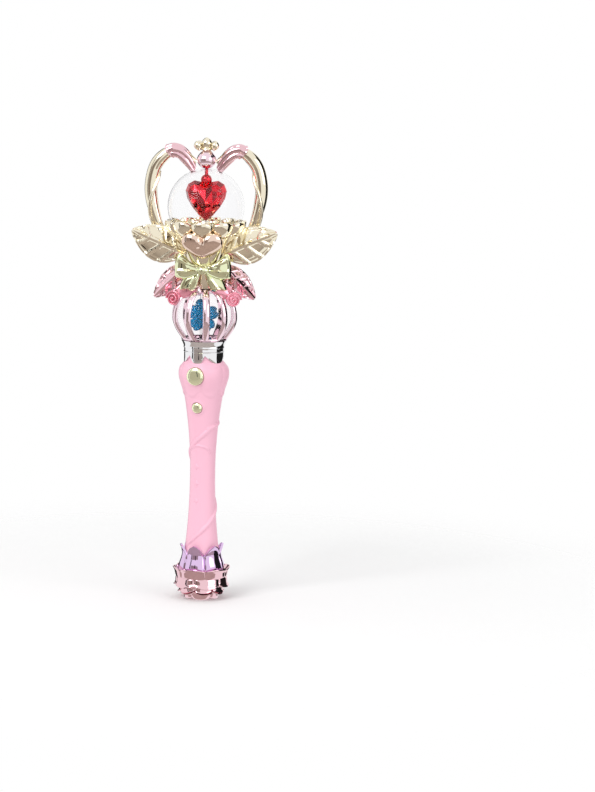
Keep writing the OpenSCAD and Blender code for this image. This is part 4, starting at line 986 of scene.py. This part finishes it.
class WAND_OT_bow(bpy.types.Operator):
    """Builds the creased bow: two loops, two tails and a knot"""
    bl_idname = "wand.bow"
    bl_label = "Bow"

    def execute(self, context):
        half, centre_z = 19.5, 227.05
        # Outlines are (across, up); a pillow takes its middle, the depth of its front and back, and its rings
        loop = [(1, -2), (0.3 * half, -4.6), (0.55 * half, -6.2), (0.9 * half, -5.6), (0.985 * half, -2),
                (0.96 * half, 7), (0.87 * half, 11.2), (0.72 * half, 10.6), (0.4 * half, 5), (1, 2.6)]
        loop = pillow(closed_path(loop, 8), (0.55 * half, 1), 3.2, 1.6, 22, bow_creases)
        tail = [(0.5, 0), (1.6, -4.6), (3.2, -9.4), (5.6, -13.4), (8.2, -14.4), (10.8, -13.1), (13.4, -13.3),
                (15.6, -13.6), (15.9, -11.6), (13.4, -6.6), (8, -2.6)]
        tail = pillow(closed_path(tail, 7), (8, -8), 2.3, 1.4, 18, tail_creases)
        side = merge(loop, shifted(tail, 0, 0.7, 0))
        knot = [(4.5, 0), (4.4, 1.6), (3.9, 3.2), (3.2, 4.2), (2.0, 4.9), (0.8, 5.2), (TIP, 5.25)]

        def pinch(angle, r, z, i):
            return r * (0.86 + 0.14 * math.cos(2 * angle)) * (1 + 0.05 * math.cos(6 * angle)), z

        knot = shifted(placed(lathe(knot, 60, pinch), FACING), 0, 1.6, 0)
        form = shifted(merge(side, mirrored(side), knot), 0, -cup_radius(centre_z) - 1.4, centre_z)
        dress("bow_creased", on_head(form), "lime", 35, "bow")
        return {"FINISHED"}


def rolled_rose():
    """A rolled rose facing -Y: a spiral wall on a shallow cup."""
    steps, turns, radius, eye_r, wall = 150, 2.4, 5.5, 0.5, 0.9
    section = ((0.5, -2.0), (0.5, 0.75), (0.3, 1.0), (0, 1.1), (-0.3, 1.0), (-0.5, 0.75), (-0.5, -2.0))
    points = []
    for i in range(steps + 1):
        t = i / steps
        a = 2 * math.pi * turns * t
        for out, up in section:
            r = radius * (1 - t) + eye_r * t + wall * out
            front = 0.3 + 1.9 * t if up > 0 else 0
            points.append((r * math.cos(a), -(up + front), r * math.sin(a)))
    cup = lathe([(TIP, -2.4), (3.5, -2.2), (4.9, -0.8), (4.7, 0.1), (TIP, 0.1)], 48)
    return merge((points, tube_faces(steps + 1, len(section))), placed(cup, FACING))


class WAND_OT_roses(bpy.types.Operator):
    """Builds the two rolled roses beside the globe, each with a stalk and a sepal"""
    bl_idname = "wand.roses"
    bl_label = "Roses"

    def execute(self, context):
        centre = Vector((20.2, -8.5, 207.05))
        place = Matrix.Translation(centre) @ Matrix.Rotation(math.radians(20), 4, "Z")
        bends = [centre + Vector(step) for step in ((-2, 1.6, 3), (-5, 3, 6.6), (-8, 4.2, 9))]
        stalk = smooth_path(bends + [Vector((9.4, -3.3, 216.6))], 6)
        radii = [1.6 - 0.5 * i / (len(stalk) - 1) for i in range(len(stalk))]
        root, tip = Vector((18.4, -9.2, 209.4)), Vector((4.6, -11.6, 214.4))
        up = Vector((0.25, 0, 1)).normalized()

        def sepal(u, v):
            v = v * 2 - 1
            half = 0.3 + 3.6 * math.sin(math.pi * u ** 0.8) ** 0.8
            swell = Vector((0, v * v - 1.2 * math.sin(math.pi * u), 0))
            return root + (tip - root) * u + up * half * v + swell

        right = merge(placed(rolled_rose(), place), sweep(stalk, radii, 16), sheet_solid(sepal, 24, 15, 1.1))
        for side, form in (("right", right), ("left", mirrored(right))):
            dress(f"rose_{side}_rolled", on_head(form), "rose", 45, f"rose_{side}")
        return {"FINISHED"}


# Heart under the dome, hoop, ribbons, bud and crown

# The stone's outline is (across, up); its groove, where the two lobes meet, is (deep, up)
GEM_TIP = 13.8
GEM = [(0, -GEM_TIP), (4.9, -9.8), (9.6, -4.2), (12.9, 1.6), (14, 6.6), (12.3, 11.2), (8.2, 13.7),
       (3.6, 12.9), (0, 10.9)]
GEM_GROOVE = [(5.6, 7.5), (6.8, 0), (4.6, -8)]


def hull(points):
    """Convex form with flat facets round a set of points, open where it lies in the plane x = 0."""
    work = bmesh.new()
    for point in points:
        work.verts.new(point)
    bmesh.ops.convex_hull(work, input=work.verts)
    work.verts.index_update()
    corners = [tuple(v.co) for v in work.verts]
    faces = [tuple(v.index for v in f.verts) for f in work.faces if max(abs(v.co.x) for v in f.verts) > 1e-6]
    work.free()
    return corners, faces


def gem_half(sign):
    """Front (-1) or back (+1) half of the cut heart, its tip at height 0: two lobes that meet in a groove."""
    middle = Vector((5.4, 4.0))
    rings = ((1, 0, GEM), (0.985, 1.3, GEM), (0.74, 5.6, GEM[1:-1]), (0.36, 8, GEM[1::2]))
    points = [(0, sign * deep, up + GEM_TIP) for deep, up in GEM_GROOVE]
    for share, deep, corners in rings:
        for corner in corners:
            x, up = middle + (Vector(corner) - middle) * share
            points.append((x if corner[0] else 0, sign * deep, up + GEM_TIP))
    lobe = hull(points)
    return merge(lobe, mirrored(lobe))


def ball_profile(radius, centre_z, steps):
    """Profile of a ball for the lathe."""
    turns = [math.pi * t for t in shares(steps)]
    return [(max(TIP, radius * math.sin(a)), centre_z - radius * math.cos(a)) for a in turns]


def dome_profile():
    """Closed profile of the clear dome: up its outside to a small hole on top, and down its inside."""
    outside, wall, hole, steps = 26, 1.2, 1.3, 48
    centre_z = high("dome").z - outside
    skin = []
    for r, order in ((outside, range(steps + 1)), (outside - wall, range(steps, -1, -1))):
        start = math.asin((low("dome").z - centre_z) / r)
        end = math.acos(hole / r)
        for i in order:
            a = start + (end - start) * i / steps
            skin.append((r * math.cos(a), centre_z + r * math.sin(a)))
    return skin


class WAND_OT_heart(bpy.types.Operator):
    """Builds the ruby heart with its facets, the rose bead and the stem above it, and the clear dome"""
    bl_idname = "wand.heart"
    bl_label = "Heart and dome"

    def execute(self, context):
        for sign, side in ((-1, "front"), (1, "back")):
            form = on_head(shifted(gem_half(sign), 0, 0, low("heart_front").z))
            dress(f"heart_{side}_facets", form, "ruby", 9, f"heart_{side}")
        bead_z, bead_r = 287.25, 3.8

        def petals(angle, r, z, i):
            twist = angle * 5 + (z - bead_z) * 1.1
            return r * (0.95 + 0.05 * abs(math.cos(twist / 2))), z

        bead = lathe(ball_profile(bead_r, bead_z, 26), 90, petals)
        pin = bar(1.2, (0, 0, bead_z + 3), (0, 0, high("heart_stem").z), 24)
        dress("heart_stem_bead", merge(bead, pin), "ruby", 30, "heart_stem")
        dome = dress("dome_clear", ring_lathe(dome_profile(), 128), "dome", 60, "dome")
        dome.visible_shadow = False
        return {"FINISHED"}


# Hoop points are (across, up, share of the full width), ribbon points (across, up, radius)
HOOP = [(28.6, 249.5, 0.5), (32.5, 258.1, 0.68), (36.3, 270, 0.94), (37.6, 282, 1), (35.4, 294, 1),
        (30.6, 301.6, 1), (23.7, 305.8, 0.82), (14, 303.4, 0.62), (7, 298.65, 0.4)]
HOOP_WIDTH = 8.7
HOOP_STEPS = 12
RIBBON = [(24.2, 306.0, 4.3), (21.4, 306.4, 4.7), (17.4, 305.0, 4.5), (12.8, 300.8, 3.9), (8.6, 294.6, 2.4)]


def upright_path(keys, steps):
    """Smooth path in the hoop's plane through (across, up, size) keys, and the size at each of its points."""
    line = smooth_path(keys, steps)
    return [Vector((p.x, 0, p.y)) for p in line], [p.z for p in line]


def hoop_strand(path, radii):
    """Vine strand that crosses the hoop's front from outside to inside on its way up."""
    first, last = int(0.67 * HOOP_STEPS), 4 * HOOP_STEPS
    line, widths = [], []
    for i in range(first, last + 1):
        t = (i - first) / (last - first)
        a = math.radians(-10 + 200 * t)
        out = math.cos(a) * path_frame(path, i)[1] - math.sin(a) * Vector((0, 1, 0))
        line.append(path[i] + (radii[i] + 0.3) * out)
        widths.append(size_mm("strand_width") / 2 * (1 - 0.3 * t) * (1 - 0.75 * eased((t - 0.86) / 0.14)))
    return sweep(line, widths, 14)


def ribbon():
    """Veined ribbon leaf wrapped round the hoop's upper end, from a slanting outer end down to the dome."""
    path, radii = upright_path(RIBBON, 10)
    sides = 84
    points = []
    for i, p in enumerate(path):
        t = i / (len(path) - 1)
        along, out = path_frame(path, i)
        lip = 0.45 * bump(t - 0.03, 0.05)
        for k in range(sides):
            a = 2 * math.pi * k / sides
            vein = 1.3 * abs(math.cos(2.5 * a + 1.2 * t)) ** 0.8 - 0.8
            slant = 3.6 * (1 - t) * math.cos(a + 2.2) + 2.0 * t * math.cos(a - 2.4)
            across = math.cos(a) * out - 0.95 * math.sin(a) * Vector((0, 1, 0))
            points.append(p + (radii[i] + vein + lip) * across + along * slant)
    return points, tube_faces(len(path), sides)


class WAND_OT_hoop(bpy.types.Operator):
    """Builds the heart-shaped hoop with its vine strands and the ribbons on its upper ends"""
    bl_idname = "wand.hoop"
    bl_label = "Hoop and ribbons"

    def execute(self, context):
        path, widths = upright_path(HOOP, HOOP_STEPS)
        radii = [HOOP_WIDTH / 2 * width for width in widths]
        peg = bar(1.3, (23, 0, 251), (29.5, 0, 251), 20)
        hoop = merge(sweep(path, radii, 40), hoop_strand(path, radii), peg)
        wrap = ribbon()
        for side, tube, leaf_wrap in (("right", hoop, wrap), ("left", mirrored(hoop), mirrored(wrap))):
            dress(f"hoop_{side}_tube", on_head(tube), "gold", 50, f"hoop_{side}")
            dress(f"ribbon_{side}_veined", on_head(leaf_wrap), "pink", 50, f"ribbon_{side}")
        return {"FINISHED"}


def crown_lobe(long, wide):
    """One swelling lobe of the crown, widest above its middle."""
    swell = [wide * math.sin(math.pi * t) ** 0.7 * (0.7 + 0.3 * t) for t in shares(18)]
    return lathe([(max(TIP, r), long * t) for r, t in zip(swell, shares(18))], 36)


class WAND_OT_crown(bpy.types.Operator):
    """Builds the fluted bud and the small crown on top of it"""
    bl_idname = "wand.crown"
    bl_label = "Bud and crown"

    def execute(self, context):
        bottom, top = low("bud").z, high("bud").z
        bud_r, peg_r = 6.7, 1.5
        profile = [(max(peg_r, bud_r * math.sin(math.pi * (0.14 + 0.76 * t)) ** 0.8),
                    bottom + (top - bottom) * t) for t in shares(28)]

        def flutes(angle, r, z, i):
            return r * (0.97 + 0.03 * abs(math.cos(3 * angle)) ** 0.5), z

        dress("bud_fluted", lathe(profile, 120, flutes), "blush", 40, "bud")
        peg_h, ring_r, lean = 2.6, 5.2, Matrix.Rotation(math.radians(15), 4, "Y")
        base = low("crown").z + peg_h
        parts = [lathe([(1.4, base - peg_h), (1.4, base), (3, base), (4, base + 0.7), (3.7, base + 1.5),
                        (3, base + 2.2), (TIP, base + 2.4)], 60),
                 shifted(crown_lobe(9.2, 4.2), 0, 0, base - 0.2)]
        for degrees in (72, 128, 180, 232, 288):
            lobe = shifted(placed(crown_lobe(7.0, 3.1), lean), ring_r, 0, base - 0.2)
            parts.append(turned(lobe, FRONT + math.radians(degrees)))
        dress("crown_lobes", on_head(merge(*parts)), "gold", 40, "crown")
        return {"FINISHED"}


# Foot

TULIP = [(18, 15.5), (21.5, 15.2), (25, 14.3), (28.4, 13.1), (31, 12.6), (33, 12.9), (35, 13.2), (38.5, 13.8)]


def lobed(angle, count, middle):
    """0 where two petals of a ring meet, 1 in a petal's middle; middle is one petal's turn from the front."""
    return abs(math.cos((angle - FRONT - math.radians(middle)) * count / 2))


def foot_tier(profile, count, middle, wave_z, wave_r):
    """Ring of joined petals: profile holds (radius, height, share), and share says how far a point waves."""
    def warp(angle, r, z, i):
        lobe = lobed(angle, count, middle) ** 0.6
        share = profile[i % len(profile)][2]
        crease = 0.5 * bump(lobe, 0.3) * eased(2.5 * share)
        return r + wave_r * (lobe - 0.6) * share - crease, z + wave_z * lobe * share

    return ring_lathe([(r, z) for r, z, _ in profile], 240, warp)


def tulip_ring():
    """Cup of joined sepals with pointed arches for tips and a rolled lip along them."""
    count, rows = 6, 30
    foot_z, valley_z, tip_z = 18.1, 30.6, high("pommel_tulip").z - 1.8
    stations = 2 * rows + 2

    def warp(angle, r, z, i):
        away = 1 - 2 / math.pi * math.asin(min(1, lobed(angle, count, 0)))
        top = valley_z + (tip_z - valley_z) * (1 - away ** 1.7)
        i %= stations
        u = min(i, stations - 1 - i) / rows
        height = foot_z + (top - foot_z) * u
        out = between(height, TULIP) + 0.9 * (1 - away * away) * eased((height - 19) / 5)
        out -= 0.6 * bump(1 - away, 0.07)
        lip = eased((u - 0.86) / 0.1)
        if i <= rows:
            return out + 0.55 * lip, height
        return out - size_mm("petal_sheet") + 0.25 * lip, height + (0.35 if i == rows + 1 else 0)

    # The warp sets every radius and height, so the profile only counts the stations up and down the sheet
    return ring_lathe([(0, 0)] * stations, 288, warp)


class WAND_OT_foot(bpy.types.Operator):
    """Builds the rose foot with its tiers of petals and the cup of sepals above it"""
    bl_idname = "wand.foot"
    bl_label = "Foot and tulip cup"

    def execute(self, context):
        crest = high("pommel_rose").z
        spread = [(14.4, 12.5, 0), (16.6, 13.6, 0.15), (17.9, 16.0, 0.4), (18.3, 18.2, 0.75),
                  (19.0, crest - 2.4, 1), (19.4, crest - 1.7, 1), (19.2, crest - 1.2, 1),
                  (18.6, crest - 1.3, 1), (17.6, 18.6, 0.7), (15.4, 16.8, 0.3), (13.0, 16, 0)]
        skirt = [(14, 17.2, 0), (16.6, 16.4, 0.05), (17.7, 14.6, 0.3), (17.7, 12.8, 0.7), (18.2, 11.8, 1),
                 (18.8, 11.2, 1), (18.7, 10.5, 1), (18.0, 10.2, 1), (17.2, 11.6, 0.7), (15.6, 13.2, 0.3),
                 (13, 14, 0)]
        bloom = [(13, 12.4, 0), (15.0, 11, 0.1), (15.1, 9.4, 0.4), (14.7, 8.2, 0.8), (15.2, 7.3, 1),
                 (15.8, 6.8, 1), (15.7, 6.1, 1), (14.9, 5.9, 1), (13.8, 7.6, 0.7), (12, 9, 0)]
        heart = [(11, 9, 0), (13.1, 7.6, 0.1), (13.0, 5.4, 0.3), (12.3, 3.6, 0.6), (11.6, 2.4, 1),
                 (11.2, 1.8, 1), (10.6, 1.7, 1), (9.6, 2.2, 1), (8, 3.2, 0.4), (4, 3.6, 0)]
        core = [(3, 3), (9, 3), (12, 6), (13.6, 10), (14.4, 15), (14.2, crest - 2.4), (3, crest - 4)]
        # Each tier: profile, number of petals, turn in degrees, and how far its edge waves up and outwards
        tiers = ((spread, 6, 0, 1.2, 1.0), (skirt, 6, 35, -2.0, 1.1), (bloom, 7, 28, -2.4, 1.2),
                 (heart, 5, 20, -1.7, 0.7))
        rose = merge(ring_lathe(core, 90), *[foot_tier(*tier) for tier in tiers])
        dress("foot_rose_tiers", rose, "pink", 55, "pommel_rose")
        dress("tulip_sepals", tulip_ring(), "lilac", 55, "pommel_tulip")
        return {"FINISHED"}


# Pieces that keep their packed forms and get a finish here

INNER = {
    "grip": ("pommel_plug", "battery_door"),
    "steel": ("pommel_screw", "handle_screws", "battery_door_screw", "battery_contacts", "battery_spring",
              "tactile_switches", "board_screws", "cup_screw"),
    "cell": ("button_cells",),
    "red_wire": ("battery_wires",),
    "blue_wire": ("led_wires",),
    "black": ("large_switch_plunger", "small_switch_plunger", "sound_chip", "speaker"),
    "board": ("button_board",),
    "liner": ("globe_post",),
    "lamp": ("blossom_led", "heart_led"),
    "gold": ("heart_seat",),
}


class WAND_OT_inner(bpy.types.Operator):
    """Gives the pieces inside the wand, its battery door and the heart's seat their finishes"""
    bl_idname = "wand.inner"
    bl_label = "Inner pieces"

    def execute(self, context):
        for kind, names in INNER.items():
            for name in names:
                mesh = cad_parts[name].data
                mesh.materials.clear()
                mesh.materials.append(FINISHES[kind])
        return {"FINISHED"}


# Studio, in metres

# Each card: name, degrees from the camera, distance, half width, height of its middle, half height, finish
CARDS = (("flag_right", 110, 2.9, 1.85, 0.9, 2.6, "felt"), ("flag_left", -67, 2.9, 0.2, 0.9, 2.6, "felt"),
         ("flag_front", -30, 2.9, 0.14, 0.5, 0.7, "felt"), ("room_front", -34, 3.0, 1.45, -0.3, 1.25, "room"),
         ("flag_back", -154, 2.9, 0.8, 0.6, 2.0, "felt"))
CARD_FINISHES = {"felt": ("Black flag felt", "#070707"), "room": ("Grey room card", "#B5A8A0"),
                 "table": ("Grey table card", "#B9ADA6")}
# Each lamp: name, radians from the camera, distance, height, size, watts
LAMPS = (("key", -0.7, 1.6, 1.5, 1.0, 17), ("fill", 0.9, 1.9, 0.9, 1.2, 7))


def stand_at(azimuth, distance, height):
    """A point round the wand: azimuth 0 is in front, growing to the viewer's right."""
    return Vector((distance * math.sin(azimuth), -distance * math.cos(azimuth), height))


def flat_card(name, centre, across, up, material):
    """A rectangular card from its middle and its two half sides."""
    centre, across, up = Vector(centre), Vector(across), Vector(up)
    corners = [centre - across - up, centre + across - up, centre + across + up, centre - across + up]
    mesh = bpy.data.meshes.new(name)
    mesh.from_pydata(corners, [], [(0, 1, 2, 3)])
    mesh.materials.append(material)
    card = add_object(name, mesh)
    return card


def reflection_cards(turn):
    """Flags, room and table that show only in the plating's reflections."""
    papers = {kind: finish(name, {"Roughness": 1.0}, (400, linear(tone), 0.06))
              for kind, (name, tone) in CARD_FINISHES.items()}
    cards = []
    for name, degrees, distance, half, height, tall, kind in CARDS:
        a = turn + math.radians(degrees)
        across = half * Vector((math.cos(a), math.sin(a), 0))
        cards.append(flat_card(name, stand_at(a, distance, height), across, (0, 0, tall), papers[kind]))
    degrees, distance, half, height, deep = -10, 1.7, 1.8, -0.7, 1.6
    a = turn + math.radians(degrees)
    across = half * Vector((math.cos(a), math.sin(a), 0))
    table = stand_at(a, distance, height)
    cards.append(flat_card("table_front", table, across, stand_at(a, deep, 0), papers["table"]))
    for card in cards:
        card.visible_camera = False
        card.visible_shadow = False
        card.visible_diffuse = False
        card.visible_transmission = False


def soft_lamp(name, place, size, power):
    """A square soft lamp that points at the wand's middle."""
    aim = Vector((0, 0, 0.17))
    light = bpy.data.lights.new(name, "AREA")
    light.size = size
    light.energy = power
    lamp = add_object(name, light)
    lamp.location = place
    lamp.rotation_euler = (aim - place).to_track_quat("-Z", "Y").to_euler()


def paper_floor():
    """White paper that holds the shadow near the wand and fades into the white studio further out."""
    paper = finish("Matt white paper", {"Roughness": 0.9}, (60, linear("#FCFCFC"), 0.004))
    tree = paper.node_tree
    nodes = {node.type: node for node in tree.nodes}
    place = nodes["TEX_COORD"].outputs["Object"]
    away = add_node(tree, "ShaderNodeVectorMath", {"Vector": place}, operation="LENGTH")
    near, far = 0.12, 0.42
    reach = {"Value": away.outputs["Value"], "From Min": near, "From Max": far}
    fade = add_node(tree, "ShaderNodeMapRange", reach, interpolation_type="SMOOTHSTEP")
    clear = add_node(tree, "ShaderNodeBsdfTransparent")
    mix = add_node(tree, "ShaderNodeMixShader", {"Fac": fade.outputs["Result"], 2: clear.outputs["BSDF"],
                                                 1: nodes["BSDF_PRINCIPLED"].outputs["BSDF"]})
    tree.links.new(mix.outputs["Shader"], nodes["OUTPUT_MATERIAL"].inputs["Surface"])
    return paper


def white_world():
    """White studio: full white where it is seen, also in plating or through clear pieces, softer as light."""
    world = bpy.data.worlds.new("White studio")
    world.use_nodes = True
    tree = world.node_tree
    tree.nodes.clear()
    ray = add_node(tree, "ShaderNodeLightPath").outputs
    seen = ray["Is Camera Ray"]
    for kind in ("Is Glossy Ray", "Is Transmission Ray"):
        seen = add_node(tree, "ShaderNodeMath", {0: seen, 1: ray[kind]}, operation="MAXIMUM").outputs[0]
    light, white = 0.74, 1.0
    level = add_node(tree, "ShaderNodeMapRange", {"Value": seen, "To Min": light, "To Max": white})
    sky = add_node(tree, "ShaderNodeBackground", {"Strength": level.outputs["Result"], "Color": (1, 1, 1, 1)})
    add_node(tree, "ShaderNodeOutputWorld", {"Surface": sky.outputs[0]})
    return world


def place_camera(stage):
    """A camera that sets the wand's middle off the middle of the frame, by pixels of a frame 792 high."""
    frame_rows, left_by, up_by = 792, 93.5, 26.6
    sensor = 24
    wand_middle = Vector((0, 0, 0.158))
    camera = add_object("camera", bpy.data.cameras.new("camera"))
    camera.data.sensor_fit = "VERTICAL"
    camera.data.sensor_height = sensor
    camera.data.lens = sensor * stage.distance / stage.frame_height
    right = Vector((math.cos(stage.azimuth), math.sin(stage.azimuth), 0))
    back = stand_at(stage.azimuth, math.cos(stage.elevation), math.sin(stage.elevation))
    roll = Matrix.Rotation(stage.roll, 3, back)
    right, up = roll @ right, roll @ back.cross(right)
    pixel = stage.frame_height / frame_rows
    centre = wand_middle + right * (left_by * pixel) - up * (up_by * pixel)
    look = Matrix((right, up, back)).transposed().to_4x4()
    camera.matrix_world = Matrix.Translation(centre + back * stage.distance) @ look
    return camera


class WAND_OT_stage(bpy.types.Operator):
    """Sets up the white studio, its lamps and cards, and the camera"""
    bl_idname = "wand.stage"
    bl_label = "Studio and camera"

    def execute(self, context):
        scene = context.scene
        turn = scene.wand_stage.azimuth
        scene.view_settings.view_transform = "Standard"
        scene.world = white_world()
        floor = flat_card("floor", (0, 0, 0), (1, 0, 0), (0, 1, 0), paper_floor())
        floor.visible_glossy = False
        reflection_cards(turn)
        for name, away, distance, height, size, power in LAMPS:
            soft_lamp(name, stand_at(turn + away, distance, height), size, power)
        scene.camera = place_camera(scene.wand_stage)
        return {"FINISHED"}


# Sidebar panel, registration and the run itself

GROUPS = {"wand_sizes": WandSizes, "wand_colours": WandColours, "wand_stage": WandStage}
OPERATORS = (WAND_OT_foot, WAND_OT_grip, WAND_OT_buttons, WAND_OT_collar, WAND_OT_globe, WAND_OT_blossom,
             WAND_OT_goblet, WAND_OT_leaves, WAND_OT_bow, WAND_OT_roses, WAND_OT_heart, WAND_OT_hoop,
             WAND_OT_crown, WAND_OT_inner, WAND_OT_stage)


class WAND_PT_panel(bpy.types.Panel):
    """Lists the steps that build the wand, and its sizes and colours"""
    bl_idname = "WAND_PT_panel"
    bl_label = "Toy magic wand"
    bl_space_type = "VIEW_3D"
    bl_region_type = "UI"
    bl_category = "Wand"

    def draw(self, context):
        for operator in OPERATORS:
            self.layout.operator(operator.bl_idname)
        for name in GROUPS:
            group = getattr(context.scene, name)
            for key in group.bl_rna.properties.keys():
                if key not in ("rna_type", "name"):
                    self.layout.prop(group, key)


CLASSES = (*GROUPS.values(), *OPERATORS, WAND_PT_panel)


def register():
    """Registers the classes and adds the groups to the scene."""
    for cls in CLASSES:
        bpy.utils.register_class(cls)
    for name, group in GROUPS.items():
        setattr(bpy.types.Scene, name, bpy.props.PointerProperty(type=group))


def unregister():
    """Takes the groups off the scene and unregisters the classes."""
    for name in GROUPS:
        delattr(bpy.types.Scene, name)
    for cls in reversed(CLASSES):
        bpy.utils.unregister_class(cls)


def main():
    """Builds every piece and the stage."""
    register()
    make_finishes()
    for operator in OPERATORS:
        group, name = operator.bl_idname.split(".")
        getattr(getattr(bpy.ops, group), name)()


if __name__ == "__main__":
    main()
